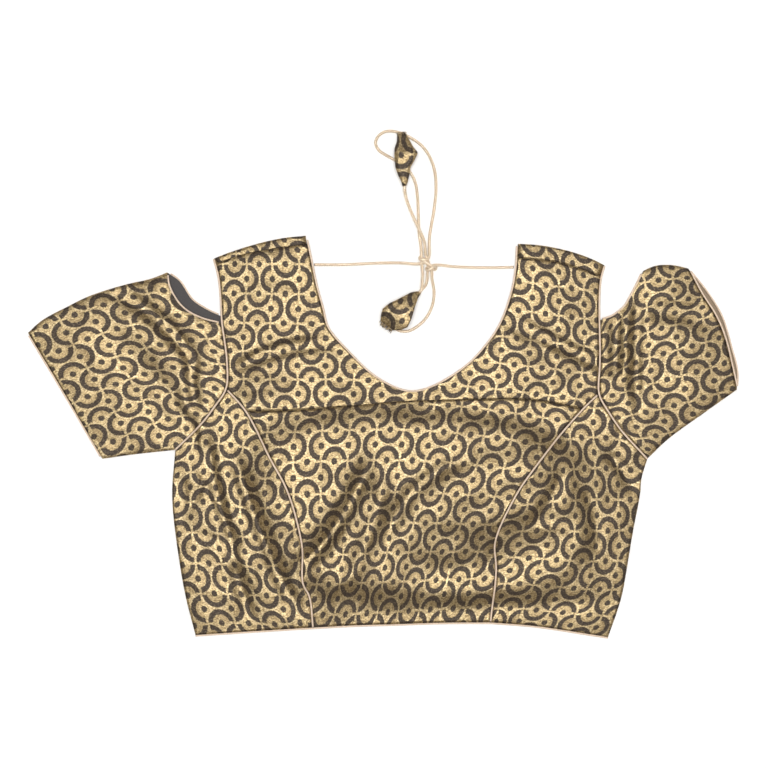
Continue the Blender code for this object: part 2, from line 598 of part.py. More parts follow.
def front_side(name, hem, side, armhole, princess, is_left):
    """A side panel: hem below, armhole above, side seam outside and princess seam inside."""
    turn = 1 if is_left else -1
    arm = moved_left(part_of(armhole, side[0], princess[0]), -turn * PIPED_INSET)
    outer = moved_left(side[::-1], -turn * PLAIN_INSET)
    inner = moved_left(princess[::-1], turn * PIPED_INSET)
    bottom = moved_left(hem, EDGED_INSET)
    left, right = (outer, inner) if is_left else (inner, outer)
    top = arm if is_left else arm[::-1]
    bottom, top, left, right = framed(bottom, top, left, right)
    grid = coons(
        resample(bottom, SIDE_COLUMNS), resample(top, SIDE_COLUMNS),
        resample(left, PANEL_ROWS), resample(right, PANEL_ROWS),
    )
    thick_cloth(name, [(with_height(grid, front_top), True)])


def wrapped_shoulder(strap, fold, seam):
    """Rows that carry the back's strap round the shoulder fold and forward to the seam."""
    columns = strap.shape[1] - 1
    start, end = strap[-1, 0], strap[-1, -1]
    fold = resample(between(fold, *nearest_pair(fold, start, end)), columns)
    seam = resample(between(seam, *nearest_pair(seam, start, end)), columns)
    inward = seam - fold
    reach = np.linalg.norm(inward, axis=1)[:, None]
    inward = inward / reach
    top = front_top(seam)
    rows = [np.concatenate([strap[-1], np.zeros((columns + 1, 1))], axis=1)]
    rows.append(np.concatenate([fold, (WRAP_EDGE * top)[:, None]], axis=1))
    depth = np.minimum(WRAP_START, reach * 0.6)
    rows.append(np.concatenate([fold + inward * depth, top[:, None]], axis=1))
    rows.append(np.concatenate([seam, top[:, None]], axis=1))
    return np.array(rows)


def nearest_pair(line, start, end):
    """The points of an extended line nearest to two others."""
    line = resample(extended(line), 200)
    return line[nearest_index(line, start)], line[nearest_index(line, end)]


def sewn_armhole(line, turn):
    """The back's edge up an armhole: out to the sleeve below its opening, and inside the piping above it."""
    share = np.clip((line[:, 1] - SEWN_TO) / SEWN_FADE, 0, 1)
    return moved_left(line, -turn * (share * PIPED_INSET - (1 - share) * BACK_SLEEVE_REACH))


def back():
    """The whole back, flat on the floor, with its straps wrapped forward over the shoulders."""
    arm_left = sewn_armhole(CURVES["armhole_left"][::-1], 1)
    arm_right = sewn_armhole(CURVES["armhole_right"][::-1], -1)
    neck = moved_left(CURVES["neck"], -PIPED_INSET - BACK_NECK_INSET)
    hem = moved_left(CURVES["hem"], EDGED_INSET)
    side_left = moved_left(CURVES["side_left"][::-1], -PLAIN_INSET)
    side_right = moved_left(CURVES["side_right"][::-1], PLAIN_INSET)
    fold_left, fold_right = CURVES["fold_left"], CURVES["fold_right"]
    left_strap, middle, right_strap = strapped_patches(
        BACK_CELLS, arm_left, arm_right, neck, moved_left(fold_left, -WRAP_START),
        moved_left(fold_right, -WRAP_START), hem, side_left, side_right,
    )
    grids = [(with_height(grid, 0.0), False) for grid in (left_strap, middle, right_strap)]
    seam_left = moved_left(CURVES["seam_left"], PLAIN_INSET)
    seam_right = moved_left(CURVES["seam_right"], PLAIN_INSET)
    for strap, fold, seam in ((left_strap, fold_left, seam_left), (right_strap, fold_right, seam_right)):
        grids.append((wrapped_shoulder(strap, fold, seam), False))
    thick_cloth("back", grids)


def sleeve(name, fold, openings, cuffs, underarm, armhole, turn):
    """A flattened tube, open at cuff and armhole, with its top cut away beside the shoulder.

    openings and cuffs hold the front layer's line and the under layer's. turn is 1 on the left, -1 on the right.
    """
    fold, underarm = smooth_curve(fold), smooth_curve(underarm)
    fold_cells = cells(fold, SLEEVE_CELL)
    open_cells = cells(smooth_curve(openings[0]), SLEEVE_CELL) + 1
    inner = np.linspace(FOLD_SHARE, 1 - FOLD_SHARE, SLEEVE_ROWS - 1)
    spread = np.concatenate([[0.0], inner, [1.0]])
    corners, surfaces = None, []
    for opening, cuff, height in zip(openings, cuffs, (front_top, 0.0)):
        scoop = moved_left(smooth_curve(opening), -turn * EDGED_INSET)
        arm = moved_left(part_of(armhole, underarm[-1], opening[-1]), turn * PIPED_INSET)
        hem = moved_left(smooth_curve(cuff), -turn * EDGED_INSET)
        if corners is None:
            corners = (
                crossing(underarm, hem, underarm[0]), crossing(underarm, arm, underarm[-1]),
                crossing(fold, hem, hem[-1]), crossing(fold, scoop, fold[-1]),
            )
        low_out, low_in, high_out, high_in = corners
        arm_end = crossing(scoop, arm, arm[-1])
        bottom = resample(between(underarm, low_out, low_in), fold_cells + open_cells)
        top = joined(
            resample(between(fold, high_out, high_in), fold_cells),
            resample(between(scoop, high_in, arm_end), open_cells),
        )
        left, right = between(hem, low_out, high_out), between(arm, low_in, arm_end)
        grid = with_height(coons(bottom, top, at_shares(left, spread), at_shares(right, spread), spread), height)
        grid[0, :, 2] = FOLD_EDGE_TOP
        grid[-1, : fold_cells + 1, 2] = FOLD_EDGE_TOP
        surfaces.append(grid)
    thick_cloth(name, [(surfaces[0], turn > 0), (surfaces[1], turn < 0)])


def at_shares(line, shares):
    lengths = along(line)
    return np.stack([np.interp(np.array(shares) * lengths[-1], lengths, line[:, k]) for k in range(2)], axis=1)


def trimmed(line, start, end):
    """The line without its first and last few millimetres."""
    lengths = along(line)
    at = np.linspace(start, lengths[-1] - end, max(2, int(lengths[-1])))
    return np.stack([np.interp(at, lengths, line[:, k]) for k in range(line.shape[1])], axis=1)


def piping(name, line, radius, lift):
    """A piping tube on a seam line. lift is over the front's cloth, or None for one on the floor."""
    line = resample(line, cells(line, PIPING_CELL))
    z = np.full(len(line), radius + FLOOR_GAP) if lift is None else front_top(line) + lift
    tube(name, np.concatenate([line, z[:, None]], axis=1), radius, "piping", sides=6)


def pipings():
    neck = CURVES["neck"]
    piping("piping_neckline", neck, PIPING_RADIUS, 0.0)
    piping("piping_hem", CURVES["hem"], EDGING_RADIUS, 0.0)
    seam_start, seam_end = 2 * PIPING_RADIUS + 2 * SEAM_GAP, EDGING_RADIUS + 2 * SEAM_GAP
    for side in ("left", "right"):
        piping(f"piping_armhole_{side}", CURVES[f"armhole_{side}"], PIPING_RADIUS, 0.0)
        princess = trimmed(CURVES[f"princess_{side}"], seam_start, seam_end)
        piping(f"piping_princess_{side}", princess, PIPING_RADIUS, 0.0)
    edgings = {
        "opening_left": (SLEEVE_LEFT_OPENING, EDGING_LIFT), "opening_left_under": (SLEEVE_LEFT_OPENING_BACK, None),
        "opening_right": (SLEEVE_RIGHT_OPENING, EDGING_LIFT), "opening_right_under": (SLEEVE_RIGHT_OPENING, None),
        "cuff_left": (SLEEVE_LEFT_CUFF, EDGING_LIFT), "cuff_left_under": (SLEEVE_LEFT_CUFF, None),
        "cuff_right": (SLEEVE_RIGHT_CUFF, EDGING_LIFT), "cuff_right_under": (SLEEVE_RIGHT_CUFF_BACK, None),
    }
    for name, (points, lift) in edgings.items():
        piping(f"piping_{name}", trimmed(smooth_curve(points), EDGING_TRIM, EDGING_TRIM), EDGING_RADIUS, lift)


def cord(name, points):
    line = smooth_curve(points)
    line[:, 2] = np.maximum(line[:, 2], FLOOR_Z)
    tube(name, resample(line, max(FEWEST_CORD_CELLS, cells(line, CORD_CELL))), CORD_RADIUS, "cord", sides=8)


def into_tassel(tip, end, sections):
    """The last stretch of a tassel's cord, in line with the tassel and just short of its tip."""
    direction = (np.array(end) - tip) / math.dist(tip, end)
    z = OVER_CORD + sections[0].half_height
    return [(*(tip - direction * gap), z) for gap in (TAIL_STRAIGHT, SEAM_GAP + 0.05)]


def neck_ties():
    cord("tie_left", TIE_LEFT)
    cord("tie_right", TIE_RIGHT)
    cord("loop_upper", UPPER_LOOP)
    cord("loop_lower", LOWER_LOOP)
    cord("tail_upper", UPPER_TAIL + into_tassel(*TASSEL_UPPER))
    cord("tail_lower", LOWER_TAIL + into_tassel(*TASSEL_LOWER))


def knot():
    """The knot as a rounded block with flat sides that the cords enter."""
    made = bmesh.new()
    bmesh.ops.create_cube(made, size=2.0)
    bmesh.ops.scale(made, vec=KNOT_HALF, verts=made.verts)
    bmesh.ops.bevel(made, geom=made.edges[:], offset=KNOT_BEVEL, segments=3, profile=0.5, affect="EDGES")
    points = [tuple(np.array(vertex.co) + KNOT) for vertex in made.verts]
    faces = [[vertex.index for vertex in face.verts] for face in made.faces]
    made.free()
    add_object("knot", points, faces, "cord")


def tassel(name, tip, end, sections):
    """A gathered cloth cone from its tip to its frayed foot, lying on the cord that passes below."""
    tip, end = np.array(tip), np.array(end)
    direction = (end - tip) / np.linalg.norm(end - tip)
    across = np.array([-direction[1], direction[0]])
    rings = []
    for share, half_width, moved, half_height in sections:
        middle = tip + (end - tip) * share + across * moved
        ring = []
        for k in range(TASSEL_SIDES):
            angle = 2 * math.pi * k / TASSEL_SIDES
            pleat = 1 + TASSEL_PLEAT * share * (1 if k % 2 else -1)
            side = across * half_width * pleat * math.cos(angle)
            z = OVER_CORD + half_height * (1 + pleat * math.sin(angle))
            ring.append((*(middle + side), z))
        rings.append(ring)
    points = [point for ring in rings for point in ring]
    faces = [list(range(TASSEL_SIDES))[::-1]]
    for row in range(len(rings) - 1):
        for k in range(TASSEL_SIDES):
            a, b = row * TASSEL_SIDES + k, row * TASSEL_SIDES + (k + 1) % TASSEL_SIDES
            faces.append([a, b, b + TASSEL_SIDES, a + TASSEL_SIDES])
    faces.append([len(points) - TASSEL_SIDES + k for k in range(TASSEL_SIDES)])
    add_object(name, points, faces, "brocade")


def main():
    clear_scene()
    front_yoke()
    front_centre()
    front_side("front_side_left", smooth_curve(HEM_LEFT), CURVES["side_left"], CURVES["armhole_left"],
               CURVES["princess_left"], True)
    front_side("front_side_right", smooth_curve(HEM_RIGHT), CURVES["side_right"], CURVES["armhole_right"],
               CURVES["princess_right"], False)
    back()
    sleeve("sleeve_left", SLEEVE_LEFT_FOLD, (SLEEVE_LEFT_OPENING, SLEEVE_LEFT_OPENING_BACK),
           (SLEEVE_LEFT_CUFF, SLEEVE_LEFT_CUFF), SLEEVE_LEFT_UNDERARM, CURVES["armhole_left"], 1)
    sleeve("sleeve_right", SLEEVE_RIGHT_FOLD, (SLEEVE_RIGHT_OPENING, SLEEVE_RIGHT_OPENING),
           (SLEEVE_RIGHT_CUFF, SLEEVE_RIGHT_CUFF_BACK), SLEEVE_RIGHT_UNDERARM, CURVES["armhole_right"], -1)
    pipings()
    neck_ties()
    knot()
    tassel("tassel_upper", *TASSEL_UPPER)
    tassel("tassel_lower", *TASSEL_LOWER)


main()
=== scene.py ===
"""Looks of the cold-shoulder brocade crop top, laid flat with its front up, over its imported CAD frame.

The floor is Z = 0, +Y runs from the hem to the neck and +X to the right of the top as it lies.
Tables are in millimetres, as in the CAD source, whose lines, folds and cord routes they repeat.
"""

import math
from collections import namedtuple

import bpy
import numpy as np
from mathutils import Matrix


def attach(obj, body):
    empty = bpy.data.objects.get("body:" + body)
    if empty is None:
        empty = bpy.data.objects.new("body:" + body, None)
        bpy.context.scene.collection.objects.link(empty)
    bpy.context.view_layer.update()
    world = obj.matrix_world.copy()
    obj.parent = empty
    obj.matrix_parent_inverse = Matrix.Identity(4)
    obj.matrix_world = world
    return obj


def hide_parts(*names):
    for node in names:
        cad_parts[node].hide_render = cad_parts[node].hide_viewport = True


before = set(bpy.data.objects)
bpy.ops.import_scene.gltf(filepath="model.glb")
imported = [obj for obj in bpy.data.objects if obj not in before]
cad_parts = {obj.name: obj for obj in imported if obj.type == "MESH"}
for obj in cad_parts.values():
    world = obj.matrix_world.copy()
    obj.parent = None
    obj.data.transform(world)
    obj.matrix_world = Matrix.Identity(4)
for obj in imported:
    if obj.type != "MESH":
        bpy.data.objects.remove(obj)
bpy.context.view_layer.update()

MM = 0.001

# The photograph: 768 x 768 pixels of 1 mm at the top's mean height, seen from straight above
PHOTO_MM = 768.0
PHOTO_MIDDLE = (0.5, 53.0, 5.0)
LENS, SENSOR = 90.0, 36.0
PHOTO_ORIGIN = (383.5, 437.0)  # pixel of the world origin


def placed(name, data):
    """A new object in the scene."""
    obj = bpy.data.objects.new(name, data)
    bpy.context.scene.collection.objects.link(obj)
    return obj


def make_camera():
    data = bpy.data.cameras.new("camera")
    data.type = "PERSP"
    data.lens = LENS
    data.sensor_width = SENSOR
    data.clip_end = 20
    camera = placed("camera", data)
    x, y, z = PHOTO_MIDDLE
    camera.location = (x * MM, y * MM, (z + PHOTO_MM * LENS / SENSOR) * MM)
    bpy.context.scene.camera = camera


make_camera()

# Cloth and trim
SEAM_GAP = 0.3  # between pieces that are sewn together
UPRIGHT = 0.5  # a rim whose normal rises more than this counts as facing up or down
PIPING_RADIUS = 0.95
EDGING_RADIUS = 0.85  # the thinner piping of hem, cuffs and sleeve openings
CORD_RADIUS = 1.6  # the neck ties
PIPED_INSET = 0.7  # from a piped seam's line to the cloth's edge, caught below the piping
EDGED_INSET = 0.6
PLAIN_INSET = 0.05

# How the front lies over the back
EDGE_TOP = 2.8  # top of the front where it meets the outline, just over the back
LAY_RISE = 3.4  # what the front gains inside the outline
LAY_REACH = 22.0
FOLD_REACH = 11.0  # how far in from the outline the folds gain their height
LEAST_FOLD = 0.12  # share of it that they have at the outline
FOLD_EDGE_TOP = 1.9  # where a sleeve's cloth turns under
FOLD_SHARE = 0.025  # share of the sleeve's depth that turn takes
EDGING_LIFT = 0.6  # edging over the front layer's cloth, clear of the edging below
EDGING_TRIM = 3.2  # how far an edging stops short of a corner
PRINCESS_TRIM = 2 * PIPING_RADIUS + 2 * SEAM_GAP, EDGING_RADIUS + 2 * SEAM_GAP  # and a princess seam's piping

# Mesh cells along each stretch
Cells = namedtuple("Cells", "strap_columns neck_columns strap_rows seam_rows armhole_rows")
YOKE_CELLS = Cells(strap_columns=38, neck_columns=70, strap_rows=40, seam_rows=10, armhole_rows=20)
BACK_CELLS = Cells(strap_columns=16, neck_columns=32, strap_rows=18, seam_rows=34, armhole_rows=24)
CENTRE_COLUMNS, SIDE_COLUMNS, PANEL_ROWS = 104, 46, 92
SLEEVE_CELL = 2.8
SLEEVE_ROWS = 62
TURNED_ROWS = (0.0, 0.12, 0.35, 0.65)  # where rows lie in a sleeve's turn
WRAP_ROWS = 6
PIPING_STEP = 2.0

# Lines that the pieces are cut along, as (x, y) points of smooth curves
LINES = {
    "neck": [
        (-76.2, 197), (-71.8, 176), (-66.8, 152), (-60.2, 128), (-56.3, 112), (-50.8, 103), (-36.2, 87),
        (-11.3, 63), (14, 48.8), (30, 45.8), (50, 51.2), (82, 70.8), (98.3, 87), (115.6, 111.4),
        (127.7, 144), (132.2, 168), (133.5, 191),
    ],
    "fold_left": [(-170.5, 178.5), (-149.5, 186.5), (-118.5, 195.5), (-98.5, 199.5), (-77.5, 201.5)],
    "fold_right": [
        (133, 193.5), (151.5, 192.5), (171.5, 189.5), (191.5, 184.5), (211.5, 177), (222, 171.5),
    ],
    "seam_left": [(-168, 173.5), (-137, 183.5), (-77, 193)],
    "seam_right": [(131.5, 179.5), (175, 174.5), (219, 160.5)],
    "armhole_left": [
        (-170, 178), (-165.4, 161), (-163.2, 140), (-161.6, 115), (-156.5, 75), (-157.5, 48.5),
        (-168.5, 31), (-181, 14.5), (-208.5, -13),
    ],
    "armhole_right": [
        (221.2, 171), (217.8, 159), (216.2, 140), (216.2, 110), (216.6, 75), (215.5, 43.5), (224.5, 26),
        (237.5, 7), (264, -22),
    ],
    "princess_left": [
        (-157.5, 48.5), (-137.5, 25.5), (-113.5, -20.5), (-96, -53), (-81.5, -106.5), (-80.5, -146),
        (-74, -160), (-70.5, -191.5),
    ],
    "princess_right": [
        (215.5, 43.5), (199.5, 28), (157, -21.5), (132, -57), (111.5, -104), (112.5, -132), (107, -186),
    ],
    "yoke": [(-137.5, 25.5), (-99.5, 26), (-29, 31), (16.5, 35.5), (96.5, 37.5), (150, 37), (199.5, 28)],
    "hem_left": [(-188, -199), (-143.5, -196), (-70.5, -191.5)],
    "hem_centre": [(-70.5, -191.5), (-28.5, -189.3), (10, -188.2), (61.5, -186.6), (107, -186.4)],
    "hem_right": [(107, -186.4), (151.5, -190), (224.5, -201)],
    "side_left": [(-208.5, -13), (-211.5, -60), (-206.5, -110), (-198, -160), (-188, -199)],
    "side_right": [
        (264, -22), (258.2, -42), (257, -56), (249.5, -96), (240, -152), (236, -168), (224.5, -201),
    ],
    "sleeve_left_fold": [
        (-356.5, 104), (-341.5, 117), (-317.5, 130), (-293.5, 141.5), (-257.5, 152.8), (-233.5, 158.3),
        (-216, 165),
    ],
    "sleeve_left_opening": [(-216, 165), (-213.5, 150), (-200.5, 130), (-182.5, 119.5), (-161.6, 114)],
    "sleeve_left_opening_under": [
        (-216, 165), (-204.3, 156.8), (-192.3, 139), (-186.2, 133.8), (-174.2, 126.8), (-162.4, 121.5),
    ],
    "sleeve_left_cuff": [(-282, -22), (-319, 41.5), (-356.5, 104)],
    "sleeve_left_underarm": [(-282, -22), (-250, -17.5), (-208.5, -13)],
    "sleeve_right_fold": [(306, 168.5), (290, 172), (273, 171.5), (259.5, 166)],
    "sleeve_right_opening": [
        (259.5, 166), (253, 152.5), (247, 141), (241, 131), (235, 125.8), (228.5, 121.3), (216.2, 117.5),
    ],
    "sleeve_right_cuff": [(354.6, 47.8), (349.5, 71), (342.5, 99), (333.5, 121), (319, 144), (306, 168.5)],
    "sleeve_right_cuff_under": [
        (354.6, 47.8), (354.8, 66), (348.8, 90), (339.3, 121), (324.8, 145), (306, 168.5),
    ],
    "sleeve_right_underarm": [(354.6, 47.8), (320.4, 23.5), (285.9, -1.5), (264, -22)],
}
LINES["sleeve_left_cuff_under"] = LINES["sleeve_left_cuff"]
LINES["sleeve_right_opening_under"] = LINES["sleeve_right_opening"]

# The back's straps, wrapped over the shoulders
BACK_SLEEVE_REACH = 0.9  # out beyond the armhole line, to the sleeve's under layer
SEWN_TO = 100  # the y up to which a sleeve is sewn to the armhole
SEWN_FADE = 20  # and the stretch above in which the back's edge moves in from it
BACK_NECK_INSET = 0.6  # the back's neck edge, behind the front's
WRAP_START = 2.4  # where the wrap leaves the floor, in from the fold
WRAP_SHARE = 0.6  # and at most this share of the way to the seam
WRAP_TURNS = np.radians(np.linspace(-60, 90, 6))
WRAP_SHIFT = (0.42, 0.37)  # the back's cloth meets the yoke's with its repeat out of step

# The bust's raised plateaus: middle, half sizes, turn in degrees, height and how soft the edge is
Cup = namedtuple("Cup", "x y half_width half_height turn height edge")
CUPS = [
    Cup(38, -69, 202, 106, -3, 6.0, 0.18),
    Cup(-64, -42, 60, 62, 20, 2.2, 0.60),
    Cup(112, -50, 82, 42, 14, 5.4, 0.50),
]

CUP_CORNERS = 2.6  # 2 makes an oval, more makes it squarer
CUP_EDGE_AT = 0.86  # share of the half sizes at which it has half its height

# Folds: each is a soft ridge (height above 0) or trough along a bowed line
Fold = namedtuple("Fold", "x0 y0 x1 y1 bow width height")
FOLDS = [
    # left sleeve: the long crease from its top edge, and slack by the underarm
    Fold(-284, 152, -190, 76, 10, 5.5, -7.0),
    Fold(-300, 140, -204, 66, 8, 14, 2.2),
    Fold(-256, 158, -180, 96, 8, 10, 2.0),
    Fold(-256, 74, -204, 30, 4, 14, -2.8),
    Fold(-190, 92, -186, 28, -4, 6, -3.4),
    Fold(-216, 34, -190, -8, 4, 7, -3.4),
    # right sleeve: upright folds beside the armhole and the turned corner of the cuff
    Fold(232, 132, 232, 62, 0, 5, -4.4),
    Fold(256, 142, 254, 32, -3, 5.5, -4.8),
    Fold(244, 140, 243, 60, 0, 7, 2.6),
    Fold(266, 126, 342, 116, 3, 9, -4.2),
    # straps and yoke
    Fold(-150, 68, -38, 94, 8, 6.5, -5.0),
    Fold(-146, 48, -92, 54, 2, 10, 1.8),
    Fold(102, 128, 226, 68, 0, 6.5, -5.0),
    Fold(122, 82, 186, 60, -3, 10, 1.4),
    # left side panel
    Fold(-194, 16, -178, -44, -2, 5, -4.0),
    Fold(-178, 0, -141, -118, -6, 5.5, -4.4),
    Fold(-203, -42, -203, -88, 0, 6, -4.0),
    Fold(-150, -126, -130, -182, -3, 5.5, -3.6),
    Fold(-148, -22, -88, -172, -3, 7, -5.0),
    Fold(-160, -60, -120, -160, -4, 6, 2.2),
    # across the centre panel
    Fold(-14, -24, -86, -136, 7, 9, -6.2),
    Fold(2, -38, -28, -126, 4, 8, 2.8),
    Fold(84, -22, 0, -108, -16, 8, -3.4),
    Fold(56, -62, 166, -30, 2, 14, 1.6),
    Fold(14, -134, 180, -104, -10, 20, -4.8),
    Fold(150, -88, 178, -34, -2, 7, -3.0),
    Fold(-62, -158, -16, -120, -3, 9, 3.0),
    Fold(-30, -182, 232, -166, 3, 9, -1.8),
    # right side panel
    Fold(224, -16, 254, -58, 3, 6, -3.4),
    Fold(196, -40, 212, -120, 6, 8, -2.4),
]

FOLD_OVERRUN, FOLD_FADE = 0.12, 0.34  # shares of its length: how far a fold runs on, and fades in

# The neck ties: points of each stretch's smooth route, z to the cord's middle
FLOOR_GAP = 0.05
FLOOR_Z = CORD_RADIUS + FLOOR_GAP
ENTRY_Z = 4.3  # where the cords enter the knot
KNOT = (43.5, 173.0, 4.6)
KNOT_HALF = (8.6, 9.8, 4.4)
KNOT_LEFT, KNOT_RIGHT = KNOT[0] - KNOT_HALF[0] - SEAM_GAP, KNOT[0] + KNOT_HALF[0] + SEAM_GAP
KNOT_UPPER, KNOT_LOWER = KNOT[1] + KNOT_HALF[1] + SEAM_GAP, KNOT[1] - KNOT_HALF[1] - SEAM_GAP


def route(*points):
    """Points of a cord's middle. At a point without a z of its own the cord lies on the floor."""
    return [point if len(point) == 3 else (*point, FLOOR_Z) for point in points]


TIE_LEFT = route(
    (-69.1, 172.6), (-38.5, 172.6), (-8.5, 174), (12, 174.4), (24, 173.8, 2.6), (31, 173.2, ENTRY_Z),
    (KNOT_LEFT, 173.2, ENTRY_Z),
)
TIE_RIGHT = route(
    (130.3, 170), (106.5, 169.6), (81.5, 170), (68, 170.8), (61, 171.6, 3.0), (56, 172, ENTRY_Z),
    (KNOT_RIGHT, 172, ENTRY_Z),
)
UPPER_LOOP = route(
    (45.8, KNOT_UPPER, ENTRY_Z), (45.8, 186.5, 3.8), (45.8, 193, 2.2), (46.4, 203), (50.5, 227), (52.5, 247),
    (51.5, 265), (46.5, 280), (38, 292), (26.5, 300), (13.5, 305.5), (2.5, 306), (-5, 301.5), (-8, 294.5),
    (-4.5, 287), (3, 282), (11, 277.5), (20, 272), (27.5, 264), (32, 254), (34, 241), (35, 222), (35.6, 205),
    (37, 194, 2.2), (37.8, 187, 3.8), (38, KNOT_UPPER, ENTRY_Z),
)
LOWER_LOOP = route(
    (48.4, KNOT_LOWER, ENTRY_Z), (48.4, 159.5, 3.8), (49.4, 154, 2.2), (50.6, 146), (49.5, 134), (44.5, 122),
    (35.5, 112), (24.5, 106), (14.5, 107), (9, 113.5), (11.5, 121.5), (19.5, 129.5), (28.5, 138), (37, 146),
    (42.4, 152.5, 2.2), (43.8, 159, 3.8), (43.8, KNOT_LOWER, ENTRY_Z),
)
# Up to the last stretch, which runs straight into a tassel's tip
UPPER_TAIL = [
    (41.9, KNOT_UPPER, ENTRY_Z), (41.8, 186.5, 5.0), (40.4, 196, 6.0), (35.4, 208, 5.6), (29.5, 221, 3.6),
    (25, 232, 2.8), (22.4, 240, 4.2),
]
LOWER_TAIL = [(39.2, KNOT_LOWER, 5.4), (38.9, 157.4, 5.8), (38.6, 151.6, 5.8)]
TAIL_STRAIGHT = 3.2
TAIL_HELD = 2.0  # how far a cord reaches into its tassel
# The way of each cord inside the knot
THROUGH_KNOT_LEFT = [(38.6, 173.6, 4.6), (42.4, 175.4, 5.0), (44.9, 178.8, 4.8)]
DOWN_THROUGH_KNOT = [(38.2, 176, 4.6), (38.8, 168, 5.0)]
THROUGH_KNOT_RIGHT = [(49.6, 171.6, 4.2), (46.2, 169.6, 4.0), (44.3, 166.2, 4.2)]
UP_THROUGH_KNOT = [(47.8, 168, 4.2), (44.2, 176, 4.4)]

# The knot's three wraps: middle from the knot's, half length, how far it sways, turn in degrees and lift
Wrap = namedtuple("Wrap", "x y half_length sway turn lift")
KNOT_WRAPS = [
    Wrap(-3.2, 4.2, 4.6, 4.6, -28, 0.4),
    Wrap(4.2, -4.4, 4.8, 4.8, 8, 0.2),
    Wrap(0.2, 0.4, 6.6, 3.2, -46, 1.4),
]
SWAY_SHARE = 0.28
WRAP_HALF_HEIGHT = KNOT_HALF[2] - 1.9
WRAP_RADIUS = CORD_RADIUS * 0.92

# The cloth tassels: sections from the tip to the frayed foot, moved sideways to the left of that direction
Section = namedtuple("Section", "share half_width moved half_height")
TASSEL_UPPER_SECTIONS = [Section(*row) for row in (
    (0.00, 2.0, 0.0, 2.0), (0.10, 3.6, -0.5, 2.6), (0.20, 5.6, 0.0, 3.2), (0.35, 7.5, 0.4, 4.0),
    (0.46, 9.7, -1.4, 4.4), (0.62, 11.9, -3.6, 4.4), (0.73, 9.4, -1.7, 3.6), (0.86, 6.4, -1.5, 2.8),
    (1.00, 4.2, 0.0, 2.0),
)]
TASSEL_LOWER_SECTIONS = [Section(*row) for row in (
    (0.00, 2.0, 0.0, 2.0), (0.10, 4.4, -2.2, 2.8), (0.27, 7.4, -2.6, 3.8), (0.42, 10.3, -2.7, 4.6),
    (0.58, 13.4, -3.2, 4.8), (0.76, 14.9, -3.2, 4.4), (0.89, 12.0, -4.0, 3.4), (1.00, 7.6, -5.6, 2.4),
)]
OVER_CORD = 2 * CORD_RADIUS + FLOOR_GAP + 0.4  # underside of both, where a cord passes below
# tip, end and sections
TASSEL_UPPER = ((20.9, 251.0), (18.0, 303.0), TASSEL_UPPER_SECTIONS)
TASSEL_LOWER = ((35.9, 144.5), (8.1, 107.8), TASSEL_LOWER_SECTIONS)
TASSEL_ROWS, TASSEL_ROUND = 26, 40
PLEAT_DEPTH = 0.10  # of the half width, at the foot
FLATNESS = 0.30  # below 1 the cloth lies flatter on top than a round cone
FOLDED_ROWS, FOLDED_SHARE = 12, 0.86  # rows of cloth seen inside the foot, and their size
FRAY_THREADS = 110
FRAY_ROOT, FRAY_LENGTH = (0.55, 1.0), (0.2, 1.0)  # ranges of a thread's place in the foot and of its length
FRAY_SPREAD, FRAY_DROP = 0.55, 0.6
FRAY_RADIUS, FRAY_LOWEST = 0.16, 0.3


def along(line):
    """Length up to each point of a line."""
    return np.concatenate([[0.0], np.cumsum(np.linalg.norm(np.diff(line, axis=0), axis=1))])


def resample(line, count):
    lengths = along(line)
    at = np.linspace(0, lengths[-1], count + 1)
    return np.stack([np.interp(at, lengths, line[:, k]) for k in range(line.shape[1])], axis=1)


def cells(line, size):
    return max(1, round(along(line)[-1] / size))


def smooth_curve(points, per_span=14):
    """A smooth curve through the points (centripetal Catmull-Rom)."""
    p = np.array(points, float)
    p = np.vstack([2 * p[0] - p[1], p, 2 * p[-1] - p[-2]])
    made = []
    for a, b, c, d in zip(p[:-3], p[1:-2], p[2:-1], p[3:]):
        knots = [0.0]
        for start, end in ((a, b), (b, c), (c, d)):
            knots.append(knots[-1] + max(np.linalg.norm(end - start), 1e-6) ** 0.5)
        t0, t1, t2, t3 = knots
        for t in np.linspace(t1, t2, per_span, endpoint=False):
            ab = a + (b - a) * (t - t0) / (t1 - t0)
            bc = b + (c - b) * (t - t1) / (t2 - t1)
            cd = c + (d - c) * (t - t2) / (t3 - t2)
            abc = ab + (bc - ab) * (t - t0) / (t2 - t0)
            bcd = bc + (cd - bc) * (t - t1) / (t3 - t1)
            made.append(abc + (bcd - abc) * (t - t1) / (t2 - t1))
    made.append(p[-2])
    return np.array(made)


def joined(*lines):
    return np.vstack([lines[0]] + [line[1:] for line in lines[1:]])


def moved_left(line, distance):
    """The line moved sideways, to the left of its own direction where distance is above 0."""
    tangent = np.gradient(line, axis=0)
    tangent /= np.linalg.norm(tangent, axis=1)[:, None]
    return line + np.reshape(distance, (-1, 1)) * np.stack([-tangent[:, 1], tangent[:, 0]], axis=1)


def extended(line, reach=8.0):
    """The line with a straight stretch added at both ends."""
    start, end = line[0] - line[1], line[-1] - line[-2]
    start, end = start / np.linalg.norm(start), end / np.linalg.norm(end)
    return np.vstack([line[0] + start * reach, line, line[-1] + end * reach])


